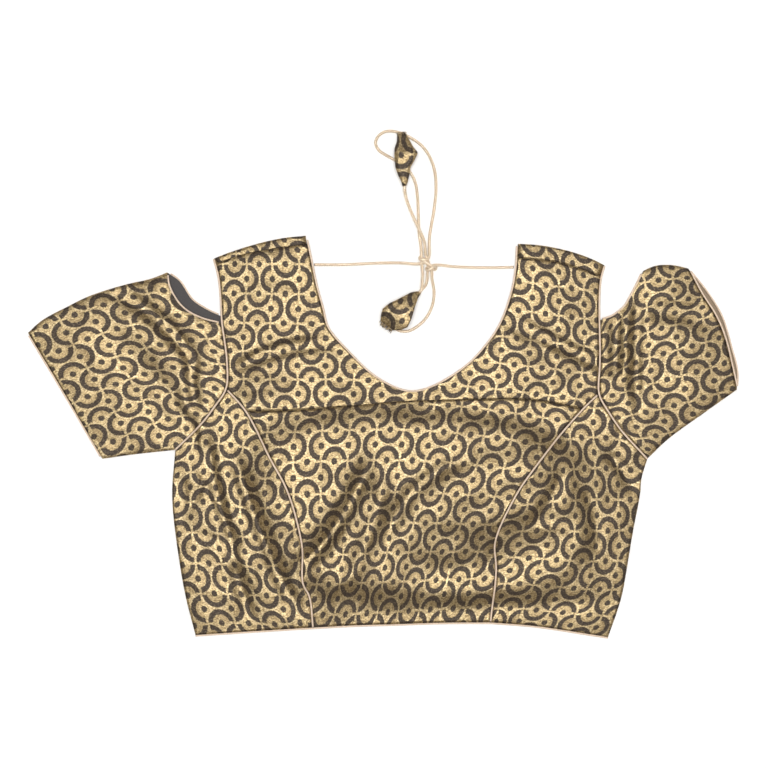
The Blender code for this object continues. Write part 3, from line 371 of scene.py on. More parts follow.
def crossing(first, second, near):
    """Where two lines cross, each extended a little: the crossing nearest to a point."""
    best = None
    second_line = extended(second)
    first_line = extended(first)
    c, d = second_line[:-1], second_line[1:]
    for a, b in zip(first_line[:-1], first_line[1:]):
        r, q = b - a, d - c
        cross = r[0] * q[:, 1] - r[1] * q[:, 0]
        cross = np.where(np.abs(cross) < 1e-9, 1e-9, cross)
        offset = c - a
        t = (offset[:, 0] * q[:, 1] - offset[:, 1] * q[:, 0]) / cross
        u = (offset[:, 0] * r[1] - offset[:, 1] * r[0]) / cross
        for k in np.flatnonzero((t >= 0) & (t <= 1) & (u >= 0) & (u <= 1)):
            found = a + t[k] * r
            if best is None or np.linalg.norm(found - near) < np.linalg.norm(best - near):
                best = found
    return best


def place_on(line, point):
    """Length along a line of its point nearest to the one given."""
    a, step = line[:-1], np.diff(line, axis=0)
    square = np.maximum((step**2).sum(axis=1), 1e-9)
    t = np.clip(((point - a) * step).sum(axis=1) / square, 0, 1)
    k = np.linalg.norm(a + t[:, None] * step - point, axis=1).argmin()
    return along(line)[k] + t[k] * math.sqrt(square[k])


def between(line, start, end):
    """The stretch of a line from one of its points to another, in that order."""
    line = extended(line)
    lengths = along(line)
    s0, s1 = place_on(line, start), place_on(line, end)
    inner = line[(lengths > min(s0, s1) + 0.01) & (lengths < max(s0, s1) - 0.01)]
    inner = inner if s0 < s1 else inner[::-1]
    return np.vstack([start, inner, end])


def framed(bottom, top, left, right):
    """Four lines cut off at the corners where they cross."""
    bl, br = crossing(bottom, left, left[0]), crossing(bottom, right, right[0])
    tl, tr = crossing(top, left, left[-1]), crossing(top, right, right[-1])
    return between(bottom, bl, br), between(top, tl, tr), between(left, bl, tl), between(right, br, tr)


def nearest_index(line, point):
    return int(np.linalg.norm(line - np.array(point), axis=1).argmin())


def distance_to(line, points):
    """Distance in plan from each of points to a line."""
    a, b = line[:-1], line[1:]
    d = b - a
    best = np.full(len(points), 1e9)
    for start, step in zip(a, d):
        t = np.clip(((points - start) @ step) / max(step @ step, 1e-9), 0, 1)
        best = np.minimum(best, np.linalg.norm(points - start - t[:, None] * step, axis=1))
    return best


def cup_height(cup, x, y):
    turn = math.radians(cup.turn)
    u = ((x - cup.x) * math.cos(turn) + (y - cup.y) * math.sin(turn)) / cup.half_width
    v = (-(x - cup.x) * math.sin(turn) + (y - cup.y) * math.cos(turn)) / cup.half_height
    radius = (np.abs(u) ** CUP_CORNERS + np.abs(v) ** CUP_CORNERS) ** (1 / CUP_CORNERS)
    return cup.height * 0.5 * (1 - np.tanh((radius - CUP_EDGE_AT) / cup.edge * 2.0))


def fold_height(fold, x, y):
    """A ridge whose line is bowed sideways, highest along its middle and fading out at both ends."""
    dx, dy = fold.x1 - fold.x0, fold.y1 - fold.y0
    length = math.hypot(dx, dy)
    u = ((x - fold.x0) * dx + (y - fold.y0) * dy) / length**2
    across = (-(x - fold.x0) * dy + (y - fold.y0) * dx) / length
    across = across - fold.bow * 4 * u * (1 - u) * ((u > -0.5) & (u < 1.5))
    ends = np.clip((u + FOLD_OVERRUN) / FOLD_FADE, 0, 1) * np.clip((1 + FOLD_OVERRUN - u) / FOLD_FADE, 0, 1)
    ends = ends * ends * (3 - 2 * ends)
    return fold.height * ends * np.exp(-((across / fold.width) ** 2))


CURVES = {name: smooth_curve(points) for name, points in LINES.items()}
CURVES["hem"] = joined(CURVES["hem_left"], CURVES["hem_centre"], CURVES["hem_right"])
SIDES = (("left", 1, 0), ("right", -1, -1))  # name, turn of its outlines, end of the middle's lines there
OUTLINE_STEP = 9


def garment_outline():
    """The free outline in plan that the front sinks towards."""
    lines = [CURVES["neck"], CURVES["hem"]]
    for side, _, _ in SIDES:
        armhole = CURVES[f"armhole_{side}"]
        lines += [CURVES[f"side_{side}"], CURVES[f"fold_{side}"]]
        lines.append(armhole[: nearest_index(armhole, LINES[f"sleeve_{side}_opening"][-1])])
        lines += [CURVES[f"sleeve_{side}_{edge}"] for edge in ("fold", "opening", "cuff", "underarm")]
    return [resample(line, max(4, int(along(line)[-1] / OUTLINE_STEP))) for line in lines]


OUTLINE = garment_outline()
GAPE = CURVES["sleeve_left_opening"]
GAPE_HEIGHT = 1.9  # the left sleeve's opening stands a little open
GAPE_WIDTH = 14.0
GAPE_UP_TO = -160  # the x beyond which the body keeps its own height
FLOOR_BEND = 2.2  # how sharply the troughs bottom out on the back


# Small creases that only the looks have
FINE_FOLDS = [
    Fold(-150, 40, -96, 52, 3, 3.2, 0.6),
    Fold(-66, 60, -20, 46, 3, 5.0, -0.9),
    Fold(-160, 104, -120, 112, 3, 5.0, -0.8),
    Fold(122, 108, 168, 76, 4, 4.5, -0.8),
    Fold(-150, 150, -88, 160, 3, 6.0, -0.9),
    Fold(-136, 178, -92, 176, 3, 6.0, 0.5),
    Fold(140, 160, 206, 148, -3, 6.0, -0.6),
    Fold(60, 34, 30, 18, 3, 5.0, -0.9),
    Fold(96, 6, 40, -8, 3, 5.0, 0.8),
    Fold(-50, -16, -72, -62, 5, 5.0, 0.8),
    Fold(-100, -124, -84, -158, -3, 4.5, 1.3),
    Fold(-48, -92, -92, -128, 4, 4.5, -1.0),
    Fold(110, -102, 96, -136, 5, 5.0, -1.0),
    Fold(150, -90, 222, -104, 5, 5.0, 0.9),
    Fold(-202, -96, -150, -112, 4, 4.5, -0.9),
    Fold(-196, -150, -146, -166, 4, 4.5, 0.8),
    Fold(-330, 98, -282, 76, 6, 5.0, 0.6),
    Fold(-300, 40, -236, 58, 5, 6.0, -0.8),
    Fold(-290, 0, -230, 12, 3, 6.0, 0.6),
    Fold(286, 60, 330, 40, 3, 6.0, 0.6),
    Fold(-170, -10, -194, -74, 2, 3.0, -1.5),
    Fold(-160, -84, -136, -182, 3, 3.0, -1.3),
]
PUCKERED = ("princess_left", "princess_right", "yoke", "armhole_left", "armhole_right")
PUCKER_HEIGHT = 0.38  # gathers beside the sewn seams
PUCKER_REACH = 6.5
PUCKER_LENGTH = 15.0
PUCKER_DRIFT, PUCKER_WANE = 23, 31  # lengths along the seam over which their spacing and depth change
SEAM_DIPS = {"yoke": 0.34, "seam_left": 0.22, "seam_right": 0.22}  # a plain seam sinks between its two cloths
SEAM_DIP_REACH = 1.7
RUMPLE = [  # (mm across, turn in degrees, shift, height) of slow waves over all the cloth
    (61, 20, 0.3, 0.34), (43, 115, 1.9, 0.26), (33, 65, 4.1, 0.17), (24, 150, 2.6, 0.11), (17, 5, 5.2, 0.07),
]
RUMPLE_BEND = 1.7


def puckers(name, points):
    """Small gathers along a seam, uneven in spacing and depth."""
    line = resample(CURVES[name], 120)
    gaps = np.linalg.norm(points[:, None] - line[None], axis=2)
    nearest = gaps.argmin(axis=1)
    along_seam = along(line)[nearest]
    near = np.exp(-((gaps.min(axis=1) / PUCKER_REACH) ** 2))
    wave = np.sin(along_seam * 2 * math.pi / PUCKER_LENGTH + 2.1 * np.sin(along_seam / PUCKER_DRIFT))
    return PUCKER_HEIGHT * near * wave * (0.6 + 0.4 * np.sin(along_seam / PUCKER_WANE + 1))


def rumple(x, y):
    total = 0
    for size, turn, shift, height in RUMPLE:
        turn = math.radians(turn)
        across = x * math.cos(turn) + y * math.sin(turn)
        bend = np.sin((x * math.sin(turn) - y * math.cos(turn)) / size * RUMPLE_BEND + shift)
        total = total + height * np.sin(across * 2 * math.pi / size + shift + bend)
    return total


def front_top(points):
    """Height of the front's outer side over (x, y) points: as the CAD has it, and its small creases."""
    x, y = points[:, 0], points[:, 1]
    inside = np.min([distance_to(line, points) for line in OUTLINE], axis=0)
    lay = LAY_RISE * (1 - np.exp(-inside / LAY_REACH))
    share = LEAST_FOLD + (1 - LEAST_FOLD) * (1 - np.exp(-inside / FOLD_REACH))
    relief = sum(cup_height(cup, x, y) for cup in CUPS) + sum(fold_height(f, x, y) for f in FOLDS)
    relief = relief + sum(fold_height(f, x, y) for f in FINE_FOLDS) + rumple(x, y)
    for name in PUCKERED:
        relief = relief + puckers(name, points)
    gape = GAPE_HEIGHT * np.exp(-((distance_to(GAPE, points) / GAPE_WIDTH) ** 2)) * (x < GAPE_UP_TO)
    height = EDGE_TOP + lay + relief * share + gape
    height = EDGE_TOP + np.logaddexp(0, (height - EDGE_TOP) * FLOOR_BEND) / FLOOR_BEND
    for name, depth in SEAM_DIPS.items():
        height = height - depth * np.exp(-((distance_to(CURVES[name], points) / SEAM_DIP_REACH) ** 2))
    return height


# How the brocade lies on each piece: the repeat's own coordinates over the photograph, as terms of
# (u, v) = (pixel - middle) / 100, where r is u, d is v, rr is u u and so on. One repeat is 2 x 2 units.
# These terms weren't chosen by hand: a separate program fitted them to the places of the figures there.
Lay = namedtuple("Lay", "start r d rr rd dd rrr rrd rdd ddd rrrr rrrd rrdd rddd dddd")
Layout = namedtuple("Layout", "x y across down")
LAYOUTS = {
    "yoke": Layout(
        404.8, 341.2,
        Lay(-3.805, 3.352, 0.162, -0.013, 0.166, -0.052, 0.057, -0.007, 0.242, 0.146, 0, -0.057, 0.008,
            0.180, 0.352),
        Lay(2.505, -0.224, 3.630, -0.126, 0.058, 0.287, -0.004, -0.001, 0.042, -0.243, 0.014, -0.006,
            -0.025, 0.018, -0.334),
    ),
    "centre": Layout(
        405.6, 502.3,
        Lay(2.004, 4.254, 0.663, -0.046, 0.872, 0.099, -0.227, -0.131, -0.021, 0.010, -0.013, -0.266,
            -0.093, -0.288, -0.001),
        Lay(1.342, -0.021, 3.227, -0.142, 0.177, 0.222, -0.013, 0.131, 0.046, 0.146, 0.035, 0.020, 0.021,
            -0.040, -0.220),
    ),
    "side_left": Layout(
        236.1, 528.5,
        Lay(2.267, 4.051, -0.401, -0.064, -0.151, -0.488, -0.527, 0.300, -0.221, 0.089, -0.056, 0.276,
            0.156, 0.060, 0.004),
        Lay(-1.245, -0.435, 3.361, 0.308, 0.320, 0.074, 1.691, -0.329, 0.139, 0.029, 0.188, -0.994,
            -0.500, -0.089, -0.025),
    ),
    "side_right": Layout(
        571.3, 530.1,
        Lay(0.385, 4.257, 0.402, 0.723, -1.032, 0.830, -0.511, 0.052, -0.296, 0.111, -0.606, 0.762,
            -0.831, 0.775, -0.101),
        Lay(-1.024, -0.051, 3.301, 0.060, -0.536, 0.220, 0.279, 0.824, 0.151, 0.198, -0.160, 0.083,
            -0.828, 0.019, 0.008),
    ),
    "sleeve_left": Layout(
        135.5, 366.2,
        Lay(1.884, 2.912, -1.764, 0.262, -0.008, -0.047, 0.012, 0.256, 0.222, 0.209, -0.120, 0.209,
            -0.243, 0.232, 0.250),
        Lay(-0.416, 1.171, 3.821, -0.480, 0.723, 0.098, -0.240, -0.187, 0.068, -0.213, 0.005, -0.419,
            0.100, -0.438, -0.163),
    ),
    "sleeve_right": Layout(
        664.4, 359.0,
        Lay(1.016, 3.389, -0.403, -0.348, -0.426, -0.531, 0.477, 0.105, -0.012, -0.318, -0.006, -1.075,
            0.252, 0.532, 0.099),
        Lay(0.217, 1.049, 3.736, -0.496, -0.244, -0.370, 0.874, 0.787, -0.610, 0.237, -0.031, -1.460,
            0.884, 0.951, 0.273),
    ),
}
REPEAT_ACROSS, REPEAT_DOWN = 26.4, 30.2  # mm of one unit of the repeat
BACK_SHIFT = 0.3  # where the back's repeat begins


def lay_terms(u, v):
    return [
        np.ones_like(u), u, v, u * u, u * v, v * v, u**3, u * u * v, u * v * v, v**3,
        u**4, u**3 * v, u * u * v * v, u * v**3, v**4,
    ]


def laid(name, points):
    """The repeat's coordinates at (x, y) points of a piece's front."""
    layout = LAYOUTS[name]
    u = (points[:, 0] + PHOTO_ORIGIN[0] - layout.x) / 100
    v = (PHOTO_ORIGIN[1] - points[:, 1] - layout.y) / 100
    terms = np.array(lay_terms(u, v))
    return np.stack([np.array(layout.across) @ terms, np.array(layout.down) @ terms], axis=1)


def laid_straight(points):
    """The repeat's coordinates on the back, cut straight on the grain."""
    return np.stack([points[:, 0] / REPEAT_ACROSS + BACK_SHIFT, -points[:, 1] / REPEAT_DOWN], axis=1)


def laid_under(name, fold):
    """Below a sleeve's front the cloth goes on round its upper fold: the front's repeat, mirrored there."""
    start, end = np.array(fold[0], float), np.array(fold[-1], float)
    direction = (end - start) / np.linalg.norm(end - start)
    layout = LAYOUTS[name]
    step = np.array([layout.across[1:3], layout.down[1:3]]) / 100

    def mirrored(points):
        offset = points - start
        on_fold = start + np.outer(offset @ direction, direction)
        away = offset - (on_fold - start)
        return laid(name, on_fold) - np.stack([away[:, 0], -away[:, 1]], axis=1) @ step.T
    return mirrored


def coons(bottom, top, left, right, shares=None):
    """Grid of points inside four lines that meet at their ends. shares places its rows."""
    shares = np.linspace(0, 1, len(left)) if shares is None else np.array(shares)
    u, v = np.linspace(0, 1, len(bottom))[None, :, None], shares[:, None, None]
    bl, br, tl, tr = bottom[0], bottom[-1], top[0], top[-1]
    flat = (1 - v) * bottom[None] + v * top[None] + (1 - u) * left[:, None] + u * right[:, None]
    return flat - ((1 - u) * (1 - v) * bl + u * (1 - v) * br + (1 - u) * v * tl + u * v * tr)


def with_height(grid, height):
    """The (x, y) grid with a z: a number, or a function of the points."""
    flat = grid.reshape(-1, 2)
    z = np.full(len(flat), float(height)) if np.isscalar(height) else height(flat)
    return np.concatenate([grid, z.reshape(grid.shape[:2])[..., None]], axis=2)


# Materials


class Graph:
    """A new material, with short calls for its nodes."""

    def __init__(self, name, **constants):
        self.material = bpy.data.materials.new(name)
        self.material.use_nodes = True
        self.nodes, self.links = self.material.node_tree.nodes, self.material.node_tree.links
        self.shader = self.nodes["Principled BSDF"]
        for socket, value in constants.items():
            self.shader.inputs[socket.replace("_", " ")].default_value = value

    def put(self, value, socket):
        if hasattr(value, "is_output"):
            self.links.new(value, socket)
        elif isinstance(value, tuple) and len(value) == 3 and socket.type == "RGBA":
            socket.default_value = (*value, 1.0)
        else:
            socket.default_value = value

    def node(self, kind, *values, **named):
        """A node with its first inputs, or its named ones, filled."""
        node = self.nodes.new(f"ShaderNode{kind}")
        for value, socket in zip(values, node.inputs):
            self.put(value, socket)
        for socket, value in named.items():
            self.put(value, node.inputs[socket])
        return node

    def math(self, operation, *values, clamp=False):
        node = self.node("Math", *values)
        node.operation, node.use_clamp = operation, clamp
        return node.outputs[0]

    def plus(self, first, second):
        return self.math("ADD", first, second)

    def minus(self, first, second):
        return self.math("SUBTRACT", first, second)

    def times(self, first, second):
        return self.math("MULTIPLY", first, second)

    def most(self, first, second):
        return self.math("MAXIMUM", first, second)

    def line(self, value, slope, start):
        return self.math("MULTIPLY_ADD", value, slope, start)

    def ramp(self, value, low, high):
        """0 below low and 1 above high, or the other way round where low is above high."""
        return self.math("MULTIPLY_ADD", value, 1 / (high - low), -low / (high - low), clamp=True)

    def mix(self, share, first, second):
        node = self.nodes.new("ShaderNodeMix")
        node.data_type = "RGBA"
        for value, socket in ((share, "Factor"), (first, "A"), (second, "B")):
            self.put(value, node.inputs[socket])
        return node.outputs["Result"]

    def vector(self, *values):
        return self.node("CombineXYZ", *values).outputs[0]

    def noise(self, vector, scale, detail=2.0, roughness=0.5):
        node = self.node("TexNoise", Vector=vector, Scale=scale, Detail=detail, Roughness=roughness)
        return node.outputs["Fac"]

    def repeat(self):
        """The two coordinates in which a piece's cloth or thread is laid out."""
        node = self.nodes.new("ShaderNodeUVMap")
        node.uv_map = "repeat"
        return tuple(self.node("SeparateXYZ", node.outputs[0]).outputs)[:2]

    def place(self):
        return self.nodes.new("ShaderNodeTexCoord").outputs["Object"]

    def bump(self, height, distance, strength):
        node = self.node("Bump", Strength=strength, Distance=distance, Height=height)
        self.links.new(node.outputs[0], self.shader.inputs["Normal"])

    def set(self, socket, value):
        self.put(value, self.shader.inputs[socket])


# The repeat's circles, in its own units
RING_INNER, RING_OUTER = 0.296, 0.470
DOT_RADIUS = 0.108
LINE_RADIUS, LINE_HALF = 0.5, 0.017
EDGE = 0.012  # softness of the figures' edges
HALF_START = (0.03, 0.05)  # where a half ring begins beside its middle
WOBBLE = 0.085  # how far the woven figures stray
# Noise of the yarns: cells in one unit of the repeat across and down, a shift between them, roughness, share
Yarn = namedtuple("Yarn", "across down shift roughness share")
# GLINTS is the yarns' fine grain, and its bright specks are painted glints of gold thread catching the light
GLINTS = Yarn(13.0, 19.0, 0.0, 0.75, 0.62)  # of a millimetre or so
THREADS = Yarn(60.0, 150.0, 7.0, 0.6, 0.22)
SLUBS = Yarn(5.0, 21.0, 3.0, 0.6, 0.16)  # slow differences from thread to thread
GOLD, DEEP_GOLD = (0.46, 0.355, 0.19), (0.105, 0.070, 0.032)
BROWN_GOLD, PALE_GOLD = (0.20, 0.135, 0.065), (0.56, 0.45, 0.28)
CHARCOAL, CHARCOAL_WORN = (0.024, 0.017, 0.013), (0.20, 0.15, 0.095)
# A painted highlight: the pale yellow of gold thread where it catches the light
PAINTED_HIGHLIGHT_GOLD = (0.80, 0.70, 0.36)
WARM = (1.0, 0.86, 0.72, 1.0)


def figures(g, x, y, upright):
    """Masks of one of the repeat's two sets of circles: half rings and dots, fine lines, and brown half discs
    inside, whose lighter middles are painted sheen.

    The half rings of one set lie above or below their middles in turn, and of the other left or right.
    """
    column, row = (g.math("FLOOR", g.plus(value, 0.5)) for value in (x, y))
    dx, dy = g.minus(x, column), g.minus(y, row)
    odd = g.math("FLOORED_MODULO", g.plus(column, row), 2.0)
    radius = g.math("SQRT", g.plus(g.times(dx, dx), g.times(dy, dy)))
    toward = g.times(g.line(odd, -2.0, 1.0), dy if upright else dx)
    half = g.ramp(toward, *HALF_START)
    ring = g.times(g.ramp(radius, RING_INNER - EDGE, RING_INNER + EDGE),
                   g.ramp(radius, RING_OUTER + EDGE, RING_OUTER - EDGE))
    dot = g.ramp(radius, DOT_RADIUS + EDGE, DOT_RADIUS - EDGE)
    disc = g.times(g.ramp(radius, RING_INNER, RING_INNER - 2 * EDGE), half)
    away = g.math("ABSOLUTE", g.minus(radius, LINE_RADIUS))
    line = g.times(g.ramp(away, LINE_HALF + EDGE, LINE_HALF - EDGE), g.ramp(toward, 0.0, 0.02))
    # The half discs are brown towards their ring and fade out towards the middle: that lighter middle is
    # painted sheen
    return g.most(g.times(ring, half), dot), line, g.times(disc, g.ramp(radius, 0.08, 0.28))


def yarn_noise(g, x, y, yarn):
    cloth = g.vector(g.times(x, yarn.across), g.times(y, yarn.down), yarn.shift)
    return g.noise(cloth, 1.0, roughness=yarn.roughness)


def brocade_material():
    """Gold brocade with dark half rings and dots, in the cloth's own coordinates."""
    g = Graph("brocade", Specular_IOR_Level=0.42, Specular_Tint=WARM, Sheen_Weight=0.08, Sheen_Roughness=0.4,
              Sheen_Tint=WARM)
    x, y = g.repeat()
    ragged = g.noise(g.vector(g.times(x, REPEAT_ACROSS), g.times(y, REPEAT_DOWN), 0.0), 0.55, roughness=0.7)
    ragged_too = g.noise(g.vector(g.plus(x, 31.7), y, 4.2), 15.0, roughness=0.7)
    x = g.plus(x, g.line(ragged, WOBBLE, -WOBBLE / 2))
    y = g.plus(y, g.line(ragged_too, WOBBLE, -WOBBLE / 2))
    dark_v, line_v, disc_v = figures(g, x, y, True)
    dark_h, line_h, disc_h = figures(g, g.minus(x, 0.5), g.minus(y, 0.5), False)
    dark, line, brown_and_sheen = g.most(dark_v, dark_h), g.most(line_v, line_h), g.most(disc_v, disc_h)
    glints, threads, slubs = (yarn_noise(g, x, y, yarn) for yarn in (GLINTS, THREADS, SLUBS))
    grain = g.line(glints, GLINTS.share, g.times(threads, THREADS.share))
    grain = g.plus(grain, g.times(slubs, SLUBS.share))
    glint = g.ramp(grain, 0.42, 0.58)
    # Brown half discs, with painted sheen where they fade in the middle
    ground = g.mix(g.times(brown_and_sheen, 0.5), GOLD, BROWN_GOLD)
    ground = g.mix(g.times(line, 0.55), ground, PALE_GOLD)
    # Painted glints: the gold goes deep where the grain is low and stays bright where it is high, partly the
    # yarns' own grain and partly painted reflection
    ground = g.mix(glint, g.mix(0.84, ground, DEEP_GOLD), ground)
    # Painted highlight on the brightest specks of the grain
    ground = g.mix(g.times(g.ramp(grain, 0.58, 0.72), 0.6), ground, PAINTED_HIGHLIGHT_GOLD)
    night = g.mix(g.times(g.ramp(grain, 0.50, 0.68), 0.7), CHARCOAL, CHARCOAL_WORN)
    g.set("Base Color", g.mix(dark, ground, night))
    g.set("Metallic", g.line(dark, -0.6, 0.70))
    g.set("Roughness", g.line(dark, 0.10, g.line(glint, -0.12, 0.42)))
    g.bump(g.minus(grain, g.times(dark, 0.2)), 0.0005, 0.8)
    return g.material


def lining_material(name, deep, light):
    g = Graph(name, Roughness=0.85, Sheen_Weight=0.15)
    weave = g.noise(g.place(), 1400.0, roughness=0.6)
    g.set("Base Color", g.mix(weave, deep, light))
    g.bump(weave, 0.00015, 0.6)
    return g.material


FULL_TURN = 6.2832
SATIN_SLANT = 5.2  # radians in a millimetre


def satin_material(name, light, deep, metallic, smooth=0.52):
    """Twisted or bias-cut satin with a fine slanting thread."""
    g = Graph(name, Metallic=metallic, Sheen_Weight=0.1)
    along_it, round_it = g.repeat()
    threads = g.math("SINE", g.plus(g.times(along_it, SATIN_SLANT), g.times(round_it, FULL_TURN)))
    grain = g.noise(g.place(), 900.0, 3.0, 0.7)
    height = g.line(threads, 0.28, g.times(grain, 0.9))
    g.set("Base Color", g.mix(g.ramp(height, 0.15, 0.8), deep, light))
    g.set("Roughness", g.line(grain, -0.18, smooth))
    g.bump(height, 0.0002, 0.6)
    return g.material


def fray_material():
    g = Graph("fray", Roughness=0.7, Metallic=0.15)
    patches = g.noise(g.place(), 420.0, 1.0)
    g.set("Base Color", g.mix(g.ramp(patches, 0.45, 0.58), (0.06, 0.05, 0.05), (0.55, 0.42, 0.24)))
    return g.material


BROCADE = brocade_material()
LINING = lining_material("lining", (0.045, 0.041, 0.043), (0.10, 0.093, 0.092))
FACING = lining_material("facing", (0.17, 0.125, 0.085), (0.38, 0.29, 0.20))
PIPING = satin_material("piping", (0.90, 0.76, 0.62), (0.52, 0.38, 0.27), 0.20)
CORD = satin_material("cord", (1.0, 0.93, 0.78), (0.62, 0.44, 0.28), 0.55, smooth=0.32)
FRAY = fray_material()


def add_mesh(name, points_mm, faces, materials, repeat, material_of=None, nodes=()):
    """A piece from points, faces and the repeat's coordinates of each face corner."""
    mesh = bpy.data.meshes.new(name)
    mesh.from_pydata((points_mm * MM).tolist(), [], faces)
    for made in materials:
        mesh.materials.append(made)
    if material_of is not None:
        mesh.polygons.foreach_set("material_index", np.asarray(material_of, np.int32))
    layer = mesh.uv_layers.new(name="repeat")
    layer.data.foreach_set("uv", np.asarray(repeat, np.float32).ravel())
    mesh.update()
    mesh.shade_smooth()
    obj = placed(name, mesh)
    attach(obj, "root")
    if nodes:
        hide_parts(*nodes)
    return obj


# Cords


def directions(line):
    """Unit vectors to the side of a line and over it."""
    tangent = np.gradient(line, axis=0)
    tangent /= np.linalg.norm(tangent, axis=1)[:, None]
    side = np.cross(tangent, [0.0, 0.0, 1.0])
    side /= np.linalg.norm(side, axis=1)[:, None]
    return side, np.cross(side, tangent)


def rings_mesh(rings):
    """Points and faces of a tube with closed ends from its rings of points."""
    rows, sides = rings.shape[:2]
    index = np.arange(rows * sides).reshape(rows, sides)
    a, b = index[:-1], np.roll(index, -1, axis=1)[:-1]
    c, d = np.roll(index, -1, axis=1)[1:], index[1:]
    faces = np.stack([a, b, c, d], axis=-1).reshape(-1, 4).tolist()
    faces += [index[0, ::-1].tolist(), index[-1].tolist()]
    return rings.reshape(-1, 3), faces


def strand(line, radius, sides=7):
    """One round strand: its mesh and its (along, round) coordinates at each face corner."""
    side, over = directions(line)
    angle = -2 * math.pi * np.arange(sides) / sides
    rings = line[:, None] + radius * (np.cos(angle)[None, :, None] * side[:, None]
                                      + np.sin(angle)[None, :, None] * over[:, None])
    points, faces = rings_mesh(rings)
    lengths = np.repeat(along(line), sides)
    turns = np.tile(np.arange(sides) / sides, len(line))
    coordinates = [(lengths[i], turns[i]) for face in faces for i in face]
    return points, faces, coordinates


def merged(parts):
    """Several (points, faces, coordinates) as one mesh."""
    points, faces, coordinates, count = [], [], [], 0
    for part_points, part_faces, part_coordinates in parts:
        points.append(part_points)
        faces += [[i + count for i in face] for face in part_faces]
        coordinates += part_coordinates
        count += len(part_points)
    return np.vstack(points), faces, coordinates


PLIES = 3
PLY_SHARE, PLY_OFFSET = 0.50, 0.49  # size and place of a cord's plies, as shares of its radius
CORD_PITCH = 7.5
CORD_STEP, ROUTE_STEP = 0.9, 1.5


def off_floor(line, lowest=FLOOR_Z):
    line[:, 2] = np.maximum(line[:, 2], lowest)
    return line


def twisted(line, radius):
    line = resample(line, cells(line, CORD_STEP))
    side, over = directions(line)
    lengths = along(line)
    parts = []
    for ply in range(PLIES):
        angle = 2 * math.pi * (ply / PLIES + lengths / CORD_PITCH)
        offset = np.cos(angle)[:, None] * side + np.sin(angle)[:, None] * over
        parts.append(strand(line + offset * radius * PLY_OFFSET, radius * PLY_SHARE))
    return merged(parts)


def cord_line(*stretches):
    """One smooth line through the points of several stretches, never below the floor."""
    line = off_floor(smooth_curve([point for stretch in stretches for point in stretch]))
    return resample(line, cells(line, ROUTE_STEP))


def into_tassel(tip, end, sections):
    direction = (np.array(end) - tip) / math.dist(tip, end)
    z = OVER_CORD + sections[0].half_height
    return [(*(tip - direction * gap), z) for gap in (TAIL_STRAIGHT, -TAIL_HELD)]


def neck_tie(name, line, nodes):
    """A real cord from a strap through the knot, round one loop of the bow and into a tassel."""
    points, faces, coordinates = twisted(line, CORD_RADIUS)
    piece = add_mesh(name, points, faces, [CORD], coordinates, nodes=nodes)


def knot():
    """The bow's knot: three slanting wraps of cord."""
    x, y, z = KNOT
    parts = []
    for wrap in KNOT_WRAPS:
        t = np.linspace(0, 2 * math.pi, 60)
        turn = math.radians(wrap.turn)
        ring_x, ring_z = wrap.half_length * np.cos(t), WRAP_HALF_HEIGHT * np.sin(t)
        ring_y = wrap.sway * SWAY_SHARE * np.sin(2 * t)
        line = off_floor(np.stack([
            x + wrap.x + ring_x * math.cos(turn) - ring_y * math.sin(turn),
            y + wrap.y + ring_x * math.sin(turn) + ring_y * math.cos(turn),
            z + wrap.lift + ring_z,
        ], axis=1))
        parts.append(strand(resample(line, cells(line, CORD_STEP)), WRAP_RADIUS, sides=9))
    points, faces, coordinates = merged(parts)
    add_mesh("bow_knot", points, faces, [CORD], coordinates, nodes=("knot",))


def frayed_foot(name, foot, direction, across, longest, rng):
    """Loose threads that start inside a tassel's last ring."""
    parts = []
    middle = foot.mean(axis=0)
    t = np.linspace(-0.5, 1, 6)[:, None]
    for _ in range(FRAY_THREADS):
        start = middle + (foot[rng.integers(TASSEL_ROUND)] - middle) * rng.uniform(*FRAY_ROOT)
        reach = rng.uniform(*FRAY_LENGTH) * longest
        spread = rng.normal(0, FRAY_SPREAD, 2)
        heading = direction + across * spread[0]
        heading = heading / np.linalg.norm(heading)
        line = np.concatenate([
            start[:2] + heading * reach * t, start[2] + spread[1] * reach * t * t - FRAY_DROP * t * t,
        ], axis=1)
        parts.append(strand(off_floor(line, FRAY_LOWEST), FRAY_RADIUS, sides=4))
    points, faces, coordinates = merged(parts)
    return add_mesh(name, points, faces, [FRAY], coordinates)


